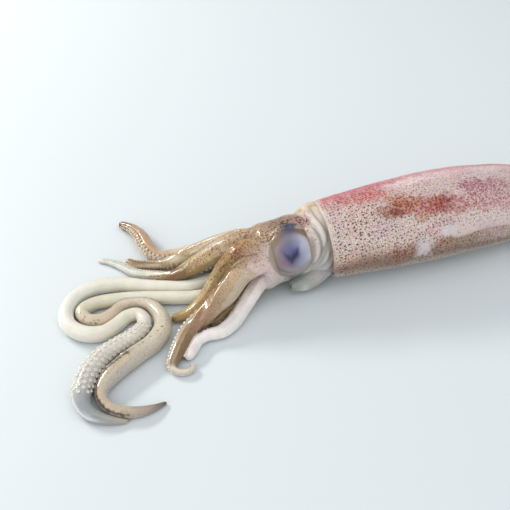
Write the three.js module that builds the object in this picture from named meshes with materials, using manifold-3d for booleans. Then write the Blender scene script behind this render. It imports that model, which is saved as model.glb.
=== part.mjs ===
// A whole raw squid lying on a table, rolled a little onto its right side: mantle with two tail
// fins, head with two eyes and a funnel, eight arms and two long tentacles that end in clubs.
// Millimetres, +Z up. The body runs along X, head towards -X and tail towards +X, and the origin
// is on the table under the middle of the belly.
import * as THREE from "three";
import { mergeVertices } from "three/addons/utils/BufferGeometryUtils.js";
import Module from "manifold-3d";

const wasm = await Module();
wasm.setup();

// Driving dimensions
const RIM_X = -80; // front edge of the mantle
const TAIL_X = 120; // tip of the tail
const ROLL = THREE.MathUtils.degToRad(40); // how far the back leans away from upright
const GAP = 0.3; // clearance between neighbouring pieces
const SQUASH = 0.93; // height to width of the soft mantle
const WALL = 2.6; // thickness of the mantle wall at its rim
const POCKET = 15; // depth of the space between the rim and the neck
const CROWN = new THREE.Vector3(-115, 0, 18.5); // middle of the ring of arms
const CROWN_RADIUS = 12.4; // from the crown's middle to the middle of an arm
const EYE_RADIUS = 11.8;
const EYE_DEPTH = 7.8;
const EYE_OUT = 11.2; // from the head's middle plane to the middle of an eye
const EYE_AT = new THREE.Vector3(-101.6, 0.2, 19.6);
const FIN_START = -19;
const FIN_END = 119;
const FIN_REACH = 27; // widest part of a fin, from root to edge
const FIN_ROOT = THREE.MathUtils.degToRad(58); // from the back's midline to a fin's root

const BACK = new THREE.Vector3(0, Math.sin(ROLL), Math.cos(ROLL)); // towards the animal's back
const LEFT = new THREE.Vector3(0, -Math.cos(ROLL), Math.sin(ROLL)); // towards its left side

// A direction round the body: 0 at the back's midline, positive towards the left side.
function around(angle) {
  return BACK.clone().multiplyScalar(Math.cos(angle)).addScaledVector(LEFT, Math.sin(angle));
}

// A value read from a table of [position, value] rows, eased between them.
function table(rows, at) {
  if (at <= rows[0][0]) return rows[0][1];
  for (let i = 1; i < rows.length; i++) {
    if (at > rows[i][0]) continue;
    const [x0, y0] = rows[i - 1];
    const [x1, y1] = rows[i];
    const [xa, ya] = rows[Math.max(i - 2, 0)];
    const [xb, yb] = rows[Math.min(i + 1, rows.length - 1)];
    const h = x1 - x0;
    const s = (at - x0) / h;
    const m0 = ((y1 - ya) / (x1 - xa)) * h;
    const m1 = ((yb - y0) / (xb - x0)) * h;
    const a = y0 * (2 * s ** 3 - 3 * s ** 2 + 1) + m0 * (s ** 3 - 2 * s ** 2 + s);
    return a + y1 * (3 * s ** 2 - 2 * s ** 3) + m1 * (s ** 3 - s ** 2);
  }
  return rows[rows.length - 1][1];
}

// Only the positions of a geometry, with shared vertices merged.
function bare(geometry) {
  geometry.deleteAttribute("normal");
  geometry.deleteAttribute("uv");
  return mergeVertices(geometry, 1e-3);
}

function solid(geometry) {
  return new wasm.Manifold(
    new wasm.Mesh({
      numProp: 3,
      vertProperties: geometry.attributes.position.array,
      triVerts: new Uint32Array(geometry.index.array),
    }),
  );
}

// A closed skin over a row of rings: a ball whose vertex (ring, angle) goes to place(ring, angle).
function loft(rings, sides, place) {
  const ball = bare(new THREE.SphereGeometry(1, sides, rings));
  const position = ball.attributes.position;
  const v = new THREE.Vector3();
  for (let i = 0; i < position.count; i++) {
    v.fromBufferAttribute(position, i);
    const ring = Math.round((Math.acos(THREE.MathUtils.clamp(v.y, -1, 1)) / Math.PI) * rings);
    const p = place(ring, Math.atan2(v.z, v.x));
    position.setXYZ(i, p.x, p.y, p.z);
  }
  return turnedOut(ball);
}

// Faces turned outwards, where a row of rings ran the other way round.
function turnedOut(geometry) {
  if (solid(geometry).volume() > 0) return geometry;
  const index = geometry.index.array;
  for (let i = 0; i < index.length; i += 3) [index[i], index[i + 1]] = [index[i + 1], index[i]];
  return geometry;
}

// Rests a point on the table.
function onTable(point) {
  if (point.z < 0) point.z = 0;
  return point;
}

// Ring positions along a length, closer together over the two round ends.
function stations(length, step, capStart, capEnd) {
  const out = [0, 0.1 * capStart, 0.42 * capStart, capStart];
  const count = Math.max(Math.round((length - capStart - capEnd) / step), 2);
  for (let i = 1; i < count; i++) out.push(capStart + ((length - capStart - capEnd) * i) / count);
  return out.concat([length - capEnd, length - 0.42 * capEnd, length - 0.1 * capEnd, length]);
}

// A soft limb along a row of [x, y, z, radius] stops. shape(angle, share) scales the section,
// where the angle is 0 on top and share runs from root to tip.
function limb(stops, { sides = 10, step = 5, shape = () => 1, grow = 0 } = {}) {
  const curve = new THREE.CatmullRomCurve3(
    stops.map(([x, y, z]) => new THREE.Vector3(x, y, z)),
    false,
    "centripetal",
  );
  curve.arcLengthDivisions = 400;
  const length = curve.getLength();
  const along = stations(length, step, stops[0][3], stops[stops.length - 1][3]);
  const rings = along.length - 1;
  const frames = along.map((s) => {
    const u = s / length;
    const t = curve.getUtoTmapping(u) * (stops.length - 1);
    const i = Math.min(Math.floor(t), stops.length - 2);
    const radius = THREE.MathUtils.lerp(stops[i][3], stops[i + 1][3], t - i);
    const middle = curve.getPointAt(u);
    const ahead = curve.getTangentAt(u);
    const side = new THREE.Vector3().crossVectors(ahead, new THREE.Vector3(0, 0, 1)).normalize();
    const up = new THREE.Vector3().crossVectors(side, ahead);
    const first = stops[0][3];
    const last = stops[stops.length - 1][3];
    let cap = 1;
    if (s < first) cap = Math.sqrt(1 - (1 - s / first) ** 2);
    if (length - s < last) cap = Math.sqrt(1 - (1 - (length - s) / last) ** 2);
    return { middle, side, up, radius: radius * cap, u };
  });
  return loft(rings, sides, (ring, angle) => {
    const { middle, side, up, radius, u } = frames[ring];
    const r = ring === 0 || ring === rings ? 0 : radius * shape(angle, u) + grow;
    const p = middle.clone().addScaledVector(up, r * Math.cos(angle));
    return onTable(p.addScaledVector(side, r * Math.sin(angle)));
  });
}

// The section of an arm: a keel along the outer face and a flatter inner face with the suckers.
function armSection(turn, keel = 0.14) {
  return (angle) => {
    const a = Math.atan2(Math.sin(angle - turn), Math.cos(angle - turn));
    return 0.97 + keel * Math.exp(-((a / 0.4) ** 2)) - 0.1 * Math.max(0, -Math.cos(a)) ** 3;
  };
}

// Small round suckers in rows on a limb: pairs along part of its length, on one face.
function suckers(stops, { from, to, pitch, rows, size }) {
  const curve = new THREE.CatmullRomCurve3(
    stops.map(([x, y, z]) => new THREE.Vector3(x, y, z)),
    false,
    "centripetal",
  );
  curve.arcLengthDivisions = 400;
  const length = curve.getLength();
  const out = [];
  const count = Math.floor(((to - from) * length) / pitch);
  for (let k = 0; k <= count; k++) {
    const u = from + (k * pitch) / length;
    const t = curve.getUtoTmapping(u) * (stops.length - 1);
    const i = Math.min(Math.floor(t), stops.length - 2);
    const radius = THREE.MathUtils.lerp(stops[i][3], stops[i + 1][3], t - i);
    const ahead = curve.getTangentAt(u);
    const side = new THREE.Vector3().crossVectors(ahead, new THREE.Vector3(0, 0, 1)).normalize();
    const up = new THREE.Vector3().crossVectors(side, ahead);
    rows.forEach((row, n) => {
      if ((k + n) % 2) return;
      const a = THREE.MathUtils.degToRad(row);
      const p = curve.getPointAt(u).addScaledVector(up, radius * 0.93 * Math.cos(a));
      p.addScaledVector(side, radius * 0.93 * Math.sin(a));
      const r = size * Math.sqrt(Math.min(radius / 4, 1));
      const bump = bare(new THREE.OctahedronGeometry(r, 1));
      bump.translate(p.x, p.y, Math.max(p.z, r));
      out.push(solid(bump));
    });
  }
  return out;
}

// Mantle: half width and the small lift of its middle, along X. It sags on the table, which
// leaves a narrow flat strip under the belly.
const HALF_WIDTH = [
  [-80, 21.2], [-62, 22.9], [-42, 24.2], [-20, 24.8], [2, 24.3], [24, 22.6], [46, 19.4],
  [66, 15.4], [84, 11.2], [100, 7.4], [111, 4.8], [120, 2.4],
];
const LIFT = [[-80, 1.7], [-60, 0.4], [-40, -0.5], [104, -0.5], [120, 0]];
const MANTLE_RINGS = 27;
const MANTLE_SIDES = 30;

function mantleRadius(x) {
  return table(HALF_WIDTH, x);
}

function mantleMiddle(x) {
  return new THREE.Vector3(x, 0, mantleRadius(x) * SQUASH + table(LIFT, x));
}

// A point on or above the mantle's skin, at an angle from the back's midline.
function mantlePoint(x, angle, above = 0) {
  const way = around(angle);
  const r = mantleRadius(x) + above;
  return mantleMiddle(x).add(new THREE.Vector3(0, way.y * r, way.z * r * SQUASH));
}

// The rim reaches furthest forward at the back's midline and is cut back a little below.
function rimShift(angle) {
  return -2.2 * Math.exp(-((angle / 0.5) ** 2)) + 0.9 * Math.exp(-(((Math.abs(angle) - Math.PI) / 0.7) ** 2));
}

function mantleBody() {
  const xs = [RIM_X, RIM_X, RIM_X + 0.5, RIM_X + 2];
  const inner = MANTLE_RINGS - xs.length - 2;
  for (let i = 1; i <= inner; i++) xs.push(RIM_X + 2 + ((TAIL_X - 4 - RIM_X - 2) * i) / inner);
  xs.push(TAIL_X - 1.6, TAIL_X - 0.3, TAIL_X);
  return loft(MANTLE_RINGS, MANTLE_SIDES, (ring, angle) => {
    const x = xs[ring];
    const shares = { 0: 0, 1: 0.9, 2: 0.97, [MANTLE_RINGS]: 0, [MANTLE_RINGS - 1]: 0.5 };
    const share = shares[ring] ?? 1;
    const p = mantlePoint(x, angle);
    p.lerp(mantleMiddle(x), 1 - share);
    const front = THREE.MathUtils.clamp(1 - (x - RIM_X) / 25, 0, 1);
    p.x += ring === 0 ? 0 : rimShift(angle) * front;
    return onTable(p);
  });
}

function mantlePocket() {
  const xs = [RIM_X - 8, RIM_X - 8, RIM_X + 1, RIM_X + 6, RIM_X + POCKET - 2, RIM_X + POCKET];
  const shrink = [0, WALL - 0.6, WALL - 0.2, WALL, WALL + 2.5, 0];
  return loft(xs.length - 1, MANTLE_SIDES, (ring, angle) => {
    const x = xs[ring];
    const at = Math.max(x, RIM_X);
    const p = mantlePoint(at, angle, -shrink[ring]);
    if (ring === 0 || ring === xs.length - 1) p.copy(mantleMiddle(at));
    p.x = x;
    return p;
  });
}

// Fins: half a rounded rhombus each. The left one lies over the flank like a wet cloth, and the
// right one hangs from the far side down to the table.
// Share of a fin's length, and the width there as a share of its widest. The front is blunt.
const FIN_WIDTH = [
  [0, 0.5], [0.015, 0.74], [0.045, 0.9], [0.1, 0.96], [0.25, 1], [0.42, 1], [0.56, 0.91],
  [0.7, 0.69], [0.82, 0.43], [0.93, 0.2], [1, 0.06],
];
const FIN_COLUMNS = 16;
const FIN_ROWS = 5;
const FIN_FRONT_LOBE = 3; // how far the edge's front corner reaches ahead of the root

function finGeometry(hand) {
  const box = bare(new THREE.BoxGeometry(1, 1, 1, FIN_COLUMNS, FIN_ROWS, 1));
  const position = box.attributes.position;
  for (let i = 0; i < position.count; i++) {
    const u = (position.getX(i) + 0.5) ** 1.45;
    const v = position.getY(i) + 0.5;
    const outer = position.getZ(i) > 0 ? 1 : 0;
    const x = FIN_START + (FIN_END - FIN_START) * u - FIN_FRONT_LOBE * v * (1 - u);
    const w = table(FIN_WIDTH, u) * FIN_REACH * v;
    const thick = THREE.MathUtils.lerp(2.5, 1.1, v ** 0.8);
    const root = FIN_ROOT * (1 - 0.35 * u ** 2);
    const r = mantleRadius(x);
    const ripple = 0.5 * v ** 3 * Math.sin(u * 17);
    const above = 0.7 + Math.abs(ripple) + outer * thick;
    let p;
    if (hand === "left") {
      p = mantlePoint(x, root + w / (r + 2), above);
    } else {
      const foot = mantlePoint(x, -root, 0.7);
      const drop = foot.z - 0.05;
      const lean = Math.min(w / 30, 1);
      const fall = drop * Math.min(1.16 * (1 - Math.exp(-((w / 17) ** 1.6))), 1);
      p = foot.add(new THREE.Vector3(0, w * (0.93 - 0.25 * lean), -fall));
      p.z = Math.max(p.z, 0) + (outer ? thick : 0) * (v === 0 ? 0.6 : 1);
      p.y += outer ? 0.4 : 0;
    }
    position.setXYZ(i, p.x, p.y, p.z);
  }
  return box;
}

// Head: [x, middle y, middle z, half height from back to belly, half width from side to side].
const HEAD = [
  [-68, 0, 20.6, 11.2, 11.2], [-70, 0, 20.7, 12.6, 12.6], [-76, 0.3, 20.9, 14, 14],
  [-82, 0.6, 21, 15.1, 14.8], [-84.6, 0.8, 21, 15.4, 15.1], [-86.4, 0.9, 21, 17.5, 16.8],
  [-88.4, 1, 20.9, 17.4, 16.6], [-90.2, 1.1, 20.8, 16.2, 15.2], [-94, 1.2, 20.6, 16.4, 14.8],
  [-99, 1.2, 20.3, 16.6, 14.5], [-104, 0.9, 19.9, 16.4, 14.6], [-109, 0.5, 19.3, 16.6, 15.6],
  [-113, 0.1, 18.8, 17.1, 16.9], [-115.6, 0, 18.6, 16.4, 16.3], [-117.6, 0, 18.5, 13.6, 13.6],
  [-118.6, 0, 18.5, 8, 8],
];
const HEAD_SIDES = 26;

// The collar fold is high over the back and the sides and fades out towards the belly. It runs
// forward at the back's midline and slants back along the sides.
function collarNear(x) {
  return Math.exp(-(((x + 87.4) / 3.2) ** 2));
}

function collarFold(x, angle) {
  return collarNear(x) * (Math.abs(angle) > 2.3 ? -1.2 : 0.5 * Math.cos(angle * 1.4));
}

function collarSlant(x, angle) {
  return collarNear(x) * 8 * Math.sin(angle / 2) ** 2;
}

function headGeometry(grow = 0) {
  const rings = HEAD.length + 1;
  return loft(rings, HEAD_SIDES, (ring, angle) => {
    const row = HEAD[THREE.MathUtils.clamp(ring - 1, 0, HEAD.length - 1)];
    const [x, y, z, high, wide] = row;
    if (ring === 0) return new THREE.Vector3(x + 0.4 + grow, y, z);
    if (ring === rings) return new THREE.Vector3(x - 0.5 - grow, y, z);
    const p = new THREE.Vector3(x + collarSlant(x, angle), y, z);
    const fold = collarFold(x, angle);
    p.addScaledVector(BACK, (high + fold + grow) * Math.cos(angle));
    return p.addScaledVector(LEFT, (wide + fold + grow) * Math.sin(angle));
  });
}

function eyeGeometry(side, grow = 0) {
  const ball = bare(new THREE.SphereGeometry(1, 18, 10));
  ball.scale(EYE_RADIUS + grow, EYE_DEPTH + grow, EYE_RADIUS + grow);
  const basis = new THREE.Matrix4().makeBasis(new THREE.Vector3(1, 0, 0), LEFT, BACK);
  ball.applyMatrix4(basis);
  const at = EYE_AT.clone().addScaledVector(LEFT, side * EYE_OUT);
  ball.translate(at.x, at.y, at.z);
  return turnedOut(ball);
}

// Funnel: a short tube that leaves the mantle's pocket under the head.
const FUNNEL = [
  [-70, -6.2, 13.2, 4.8], [-77, -6.8, 12.4, 5.4], [-84, -8, 10.6, 6], [-91, -10.4, 8, 6.4],
  [-97.5, -11.8, 6.7, 5.9], [-103, -12.4, 6, 4.8],
];
const FUNNEL_MOUTH = [[-99.2, -12, 6.4, 2.2], [-101.8, -12.3, 6.2, 3.2], [-108, -12.9, 5.8, 3.6]];

// Arms: the place of each root in the ring, in degrees from the back's midline towards the left,
// how far the keel is turned, and the stops from the crown to the tip.
const ARMS = {
  arm_left_1: {
    at: 19, root: 4.3, turn: -25,
    stops: [
      [-128.7, 5.5, 26.5, 5], [-136.7, 7.9, 20.5, 5.2], [-144.2, 10.7, 14, 5],
      [-150.9, 12.5, 9, 4.2], [-156.9, 12.9, 6.8, 3.2], [-162.6, 16.4, 4.6, 2.5],
      [-169.6, 22.2, 2.2, 2.2], [-177.3, 26.9, 1.9, 1.9], [-182.9, 34.2, 1.5, 1.5],
      [-188.5, 39.8, 1.1, 1], [-193.6, 43.1, 0.8, 0.7],
    ],
  },
  arm_left_2: {
    at: 58, root: 4.4, turn: -30,
    stops: [
      [-127.8, -3.7, 29, 4.2], [-134.4, -4.7, 24, 3.6], [-140.5, -6.2, 17.5, 3.1],
      [-146.7, -9.8, 11.5, 2.9], [-152.2, -12.3, 6.8, 2.8], [-157.1, -13.5, 4.2, 2.8],
      [-162, -13.4, 2.8, 2.5], [-164.9, -12.3, 1.9, 1.6],
    ],
  },
  arm_left_3: {
    at: 104, root: 4.8, turn: 25, step: 3.6,
    stops: [
      [-127.6, -11, 20.5, 5.4], [-137.4, -15.6, 14.5, 5.5], [-147.4, -19.4, 9, 4.9],
      [-155.5, -22.2, 5.2, 4.4], [-161.8, -26.9, 3.9, 3.9], [-166.2, -32.7, 3.7, 3.7],
      [-170.1, -38.3, 3.2, 3.2], [-172.9, -42.6, 2.2, 2.2], [-171.2, -46.2, 1.8, 1.8],
      [-166.3, -47.8, 1.7, 1.7], [-162.9, -45.9, 1.5, 1.3], [-164.1, -43.4, 1.2, 0.9],
    ],
  },
  arm_left_4: {
    at: 156, root: 4.5, turn: 40,
    stops: [
      [-124.8, -15.1, 8, 4.2], [-130, -19.1, 5, 3.9], [-136.3, -25.2, 3.7, 3.7],
      [-144.4, -29.9, 3.3, 3.4], [-151.5, -29.8, 2.9, 3], [-156.8, -31.7, 2.7, 2.7],
      [-160.8, -36.3, 2.6, 2.6], [-165, -40.9, 2.1, 2],
    ],
  },
  arm_right_1: {
    at: -19, root: 4.3, turn: 0,
    stops: [
      [-123.3, 14.9, 22, 4.3], [-130.2, 17.5, 19, 4.2], [-137.2, 20.2, 15.5, 4.1],
      [-145.7, 21.8, 11.5, 3.9], [-154.5, 22.3, 8.2, 3.6], [-162.6, 25.8, 4.6, 2.7],
      [-169.2, 29.1, 2.5, 2.3], [-175.2, 31.5, 2.2, 2], [-178.9, 36.8, 1.8, 1.1],
    ],
  },
  arm_right_2: {
    at: -60, root: 4.3, turn: 30,
    stops: [
      [-122.3, 22.4, 11, 4.4], [-133.3, 27.4, 7, 4.3], [-144.9, 30.6, 4.2, 4.1],
      [-154.9, 31, 3.8, 3.9], [-162.5, 33.8, 3.6, 3.6], [-166.2, 42.3, 3.4, 3.3],
      [-167.6, 52.1, 3, 2.9], [-170.4, 60.6, 2.4, 2.2], [-174, 65.9, 2, 1.9],
      [-176.9, 69, 1.4, 1.1],
    ],
  },
  arm_right_3: {
    at: -106, root: 4.8, turn: 0,
    stops: [
      [-123, 13.6, 5.6, 4.7], [-134, 18.4, 4, 4], [-146, 20, 2.7, 2.8],
      [-156, 18.2, 1.8, 1.9], [-164.1, 18.6, 1.2, 1.1],
    ],
  },
  arm_right_4: {
    at: -158, root: 4.2, turn: 0, step: 2.8,
    stops: [
      [-124, -4.6, 5.2, 3.9], [-131, -9.5, 3.8, 3.3], [-136.5, -15.2, 2.8, 2.7],
      [-142.5, -19.4, 2.1, 2.1], [-147.3, -22.5, 1.7, 1.6], [-145.6, -25, 1.5, 1.4],
      [-140.7, -22, 1.2, 0.9],
    ],
  },
};

// Tentacles: round stems that leave from the middle of the crown, and a broad club at the end.
const TENTACLES = {
  tentacle_right: {
    at: -125, ring: 4.2, root: 3.2, club: 0.74,
    stops: [
      [-124, 5.2, 11.5, 3.3], [-132.4, 7.7, 5.4, 3.5], [-141.9, 6.8, 3.6, 3.5],
      [-152.4, 5.9, 3.4, 3.5], [-163.8, 9.3, 3.4, 3.5], [-173.6, 13.1, 3.5, 3.6],
      [-184.7, 17.9, 3.7, 3.8], [-195.4, 19.6, 3.8, 3.9], [-203.3, 18.4, 3.8, 3.9],
      [-211, 13.5, 3.8, 3.9], [-215.4, 5.1, 3.8, 4], [-214.7, -4, 3.9, 4.1],
      [-208, -11.2, 3.9, 4.1], [-200, -13.2, 3.8, 4], [-193, -10, 3.7, 3.8],
      [-186.7, -5.8, 3.6, 3.6], [-181.6, -5.4, 3.5, 3.4], [-179.1, -9.6, 3.5, 3.5],
      [-180.6, -15.7, 3.7, 3.8], [-186.3, -20.3, 3.9, 4], [-194, -23.5, 3.9, 4.2],
      [-202.8, -28.3, 4, 4.6], [-209.6, -35.3, 4.2, 5], [-214.3, -43.5, 4.1, 4.9],
      [-215.9, -50.5, 3.8, 4.3], [-214.4, -57.4, 3.2, 3.4], [-209.9, -61.9, 2.6, 2.7],
      [-204.2, -64.8, 1.9, 1.9], [-198.2, -66.4, 1, 0.9],
    ],
  },
  tentacle_left: {
    at: 110, ring: 4.2, root: 3.2, club: 0.7,
    stops: [
      [-123, -2.2, 14.5, 3.2], [-132, -0.2, 8.6, 3.4], [-138.8, -3, 3.8, 3.5],
      [-150.9, -2.5, 3.4, 3.5], [-165.6, 1.7, 3.4, 3.5], [-180.3, 6.1, 3.4, 3.5],
      [-192.8, 8.3, 3.4, 3.5], [-201.7, 8.2, 3.5, 3.5], [-207.4, 4.5, 3.6, 3.5],
      [-206, -1.3, 3.5, 3.4], [-199.4, -3.9, 3.4, 3.4], [-193.5, -1.6, 3.3, 3.2],
      [-187.1, 2.9, 3.2, 3.1], [-179.9, 3, 3.1, 3], [-173.9, -1.5, 3.4, 3.3],
      [-170.7, -10.6, 3.9, 3.9], [-171.8, -19.9, 4.3, 4.6], [-178.2, -27.4, 4.3, 4.7],
      [-186.2, -31.7, 4.3, 4.7], [-194.8, -36.6, 4.2, 4.7], [-202.4, -42.2, 4.1, 4.3],
      [-206.9, -48.3, 3.4, 3.1], [-206.5, -54.8, 3, 2.8], [-202.8, -59.9, 2.9, 2.8],
      [-195.9, -63.3, 2.7, 2.7], [-187.8, -63.6, 2.2, 2.3], [-179.6, -61.5, 1, 0.9],
    ],
  },
};

// Suckers that stand proud: [limb, share of length from and to, spacing, rows in degrees, size].
const SUCKERS = [
  ["tentacle_right", 0.76, 0.95, 4.2, [62, 36, 8, -20], 1.5],
  ["arm_left_3", 0.56, 0.82, 3.2, [78, 60], 1.1],
  ["arm_right_2", 0.5, 0.82, 3.4, [-72, -54], 1.1],
  ["arm_right_1", 0.78, 0.97, 3, [40, -40], 0.9],
];

function rootStops({ at, root, ring = CROWN_RADIUS }) {
  const way = around(THREE.MathUtils.degToRad(at)).multiplyScalar(ring).add(CROWN);
  return [[CROWN.x + 4, way.y, way.z, root * 0.92], [CROWN.x - 2, way.y, way.z, root]];
}

function limbStops(limbRow) {
  return [...rootStops(limbRow), ...limbRow.stops];
}

// Build: each piece is cut by its neighbours grown by the gap.
const pieces = new Map();
const eyes = { eye_left: 1, eye_right: -1 };

let mantle = solid(mantleBody()).subtract(solid(mantlePocket()));
const funnelTube = limb(FUNNEL, { sides: 14, step: 5 });
const funnelGrown = solid(limb(FUNNEL, { sides: 14, step: 5, grow: GAP }));
pieces.set("funnel", solid(funnelTube).subtract(solid(limb(FUNNEL_MOUTH, { sides: 12, step: 3 }))));
pieces.set("mantle", mantle.subtract(funnelGrown));

let head = solid(headGeometry()).subtract(funnelGrown);
for (const [name, side] of Object.entries(eyes)) {
  head = head.subtract(solid(eyeGeometry(side, GAP)));
  pieces.set(name, solid(eyeGeometry(side)));
}
pieces.set("head", head);
pieces.set("fin_left", solid(turnedOut(finGeometry("left"))));
pieces.set("fin_right", solid(turnedOut(finGeometry("right"))));

const headGrown = solid(headGeometry(GAP));
const placed = [];
const order = [
  "arm_left_3", "arm_left_2", "arm_left_1", "arm_left_4", "arm_right_1", "arm_right_4",
  "tentacle_left", "tentacle_right", "arm_right_2", "arm_right_3",
];
for (const name of order) {
  const isArm = name.startsWith("arm");
  const row = isArm ? ARMS[name] : TENTACLES[name];
  const stops = limbStops(row);
  const turn = THREE.MathUtils.degToRad(row.turn ?? 0);
  const shape = isArm ? armSection(turn) : () => 1;
  const sides = 10;
  const step = row.step ?? 5.3;
  let piece = solid(limb(stops, { sides, step, shape }));
  for (const [limbName, from, to, pitch, rows, size] of SUCKERS) {
    if (limbName !== name) continue;
    for (const bump of suckers(stops, { from, to, pitch, rows, size })) piece = piece.add(bump);
  }
  piece = piece.subtract(headGrown);
  for (const other of placed) piece = piece.subtract(other);
  pieces.set(name, largest(piece));
  placed.push(solid(limb(stops, { sides, step, shape, grow: GAP })));
}

// The main body of a cut piece, without loose scraps.
function largest(piece) {
  const bodies = piece.decompose();
  return bodies.reduce((a, b) => (b.volume() > a.volume() ? b : a));
}

// Colours: [colour, roughness].
const LOOKS = {
  mantle: ["#d9c3bd", 0.32],
  fin: ["#dccdc6", 0.32],
  head: ["#c6b3a0", 0.28],
  eye: ["#7d86ab", 0.12],
  arm: ["#b8a37e", 0.26],
  tentacle: ["#d9d6c6", 0.28],
  funnel: ["#bfc3b4", 0.28],
};

const squid = new THREE.Group();
for (const [name, piece] of pieces) {
  const made = piece.getMesh();
  const geometry = new THREE.BufferGeometry();
  geometry.setAttribute("position", new THREE.BufferAttribute(made.vertProperties, 3));
  geometry.setIndex(new THREE.BufferAttribute(made.triVerts, 1));
  geometry.computeVertexNormals();
  const [color, roughness] = LOOKS[name.split("_")[0]];
  const mesh = new THREE.Mesh(
    geometry,
    new THREE.MeshStandardMaterial({ color, roughness, metalness: 0 }),
  );
  mesh.name = name;
  squid.add(mesh);
}

export default squid;
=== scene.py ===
# %% [markdown]
# # A whole raw squid, wet from the market
#
# A squid is one soft body: a muscular tube called the mantle with two fins at its tail, a head
# with big eyes, a funnel under the neck, eight arms and two long tentacles. Everything shiny on
# it is a film of water, and everything dotted is its chromatophores, tiny sacs of dark ink.
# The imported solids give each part's size and place. We load them first, and every piece that is
# modelled here stands exactly where its solid does.

import math
import random
from collections import namedtuple
from functools import cache

import bmesh
import bpy
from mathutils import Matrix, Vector, noise
from mathutils.kdtree import KDTree


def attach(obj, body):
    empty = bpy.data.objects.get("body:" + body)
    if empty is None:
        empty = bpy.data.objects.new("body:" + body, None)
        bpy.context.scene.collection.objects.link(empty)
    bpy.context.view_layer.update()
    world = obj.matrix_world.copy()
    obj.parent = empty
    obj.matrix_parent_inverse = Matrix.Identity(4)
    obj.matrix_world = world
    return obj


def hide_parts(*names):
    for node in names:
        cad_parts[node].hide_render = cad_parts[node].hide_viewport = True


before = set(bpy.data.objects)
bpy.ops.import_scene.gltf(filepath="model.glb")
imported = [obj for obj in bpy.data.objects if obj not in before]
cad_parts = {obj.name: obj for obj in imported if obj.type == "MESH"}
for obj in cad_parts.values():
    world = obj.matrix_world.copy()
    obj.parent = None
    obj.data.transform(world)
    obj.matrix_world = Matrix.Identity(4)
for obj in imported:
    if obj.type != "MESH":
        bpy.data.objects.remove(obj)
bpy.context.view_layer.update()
MM = 0.001
scene = bpy.context.scene
print("solids in the frame:", len(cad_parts))

# %% [markdown]
# ## Two small tools for materials
#
# Colours are picked as hex values, the way a paint program shows them. A renderer works
# in linear light, so one function turns them round. The other tool adds a shader node, sets it
# and links it in one line, which keeps each material short enough to read.

# %% Colours and nodes


@cache
def linear(colour):
    """An sRGB hex colour as linear red, green and blue, with an alpha of 1."""
    channels = [int(colour[i:i + 2], 16) / 255 for i in (1, 3, 5)]
    return (*(c / 12.92 if c <= 0.04045 else ((c + 0.055) / 1.055) ** 2.4 for c in channels), 1.0)


def mixed(first, second, share):
    """A colour between two linear colours."""
    return [a + (b - a) * share for a, b in zip(first, second)]


def add_node(tree, kind, inputs=None, **settings):
    """Adds a node, sets its properties, and fills its inputs with numbers or links."""
    node = tree.nodes.new(kind)
    for name, value in settings.items():
        setattr(node, name, value)
    for name, value in (inputs or {}).items():
        if isinstance(value, bpy.types.NodeSocket):
            tree.links.new(value, node.inputs[name])
        else:
            node.inputs[name].default_value = value
    return node


def new_material(name):
    """An empty material and its node tree, with the output node in it."""
    material = bpy.data.materials.new(name)
    material.use_nodes = True
    tree = material.node_tree
    tree.nodes.clear()
    return material, tree, tree.nodes.new("ShaderNodeOutputMaterial")


print("white is", [round(c, 3) for c in linear("#ffffff")])

# %% [markdown]
# ## The table, the light and the camera
#
# The squid lies on a pale, smooth, slightly bluish surface, such as a polished counter. The
# light is large and soft and comes from the upper left, so the wet flesh gets long thin
# highlights on its upper left edges and a soft dark line where it meets the table.
# The camera looks down at 42 degrees from beside the head. A lens of 55 mm keeps the tail from
# shrinking too much in the distance.

# %% Camera
CAMERA_AT = Vector((-209.5, -282.5, 288.4)) * MM
CAMERA_TURN = math.radians(-18)
CAMERA_DOWN = math.radians(42)
LENS_MM = 55.4
SENSOR_MM = 36

camera_data = bpy.data.cameras.new("camera")
camera_data.sensor_width = SENSOR_MM
camera_data.lens = LENS_MM
camera = bpy.data.objects.new("camera", camera_data)
camera.location = CAMERA_AT
camera.rotation_euler = (math.pi / 2 - CAMERA_DOWN, 0, CAMERA_TURN)
scene.collection.objects.link(camera)
scene.camera = camera
scene.view_settings.view_transform = "Standard"
print("camera at", [round(c, 3) for c in camera.location])

# %% Counter top
FLOOR_SIZE = 3.0


def finished(work, name):
    """Turns a bmesh into a smooth-shaded object at the origin."""
    mesh = bpy.data.meshes.new(name)
    work.to_mesh(mesh)
    work.free()
    mesh.polygons.foreach_set("use_smooth", [True] * len(mesh.polygons))
    piece = bpy.data.objects.new(name, mesh)
    scene.collection.objects.link(piece)
    return piece


work = bmesh.new()
bmesh.ops.create_grid(work, x_segments=1, y_segments=1, size=FLOOR_SIZE / 2)
counter = finished(work, "counter")

polished_counter, tree, output = new_material("polished_acrylic_counter")
surface = add_node(tree, "ShaderNodeBsdfPrincipled", {
    "Base Color": linear("#cdd3d4"), "Roughness": 0.42, "IOR": 1.49, "Specular IOR Level": 0.35})
tree.links.new(surface.outputs[0], output.inputs[0])
counter.data.materials.append(polished_counter)
print("the counter is", FLOOR_SIZE, "m wide")

# %% Lights
ROOM_IN_FRONT = 1.28
ROOM_BEHIND = 0.38

world = bpy.data.worlds.new("studio")
world.use_nodes = True
tree = world.node_tree
look_way = add_node(tree, "ShaderNodeTexCoord")
axes = add_node(tree, "ShaderNodeSeparateXYZ", {"Vector": look_way.outputs["Generated"]})
brightness = add_node(tree, "ShaderNodeMapRange", {
    "Value": axes.outputs["Y"], "From Min": -1.0, "From Max": 1.0,
    "To Min": ROOM_IN_FRONT, "To Max": ROOM_BEHIND})
tree.nodes["Background"].inputs["Color"].default_value = linear("#f3f6fa")
tree.links.new(brightness.outputs[0], tree.nodes["Background"].inputs["Strength"])
scene.world = world


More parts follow.
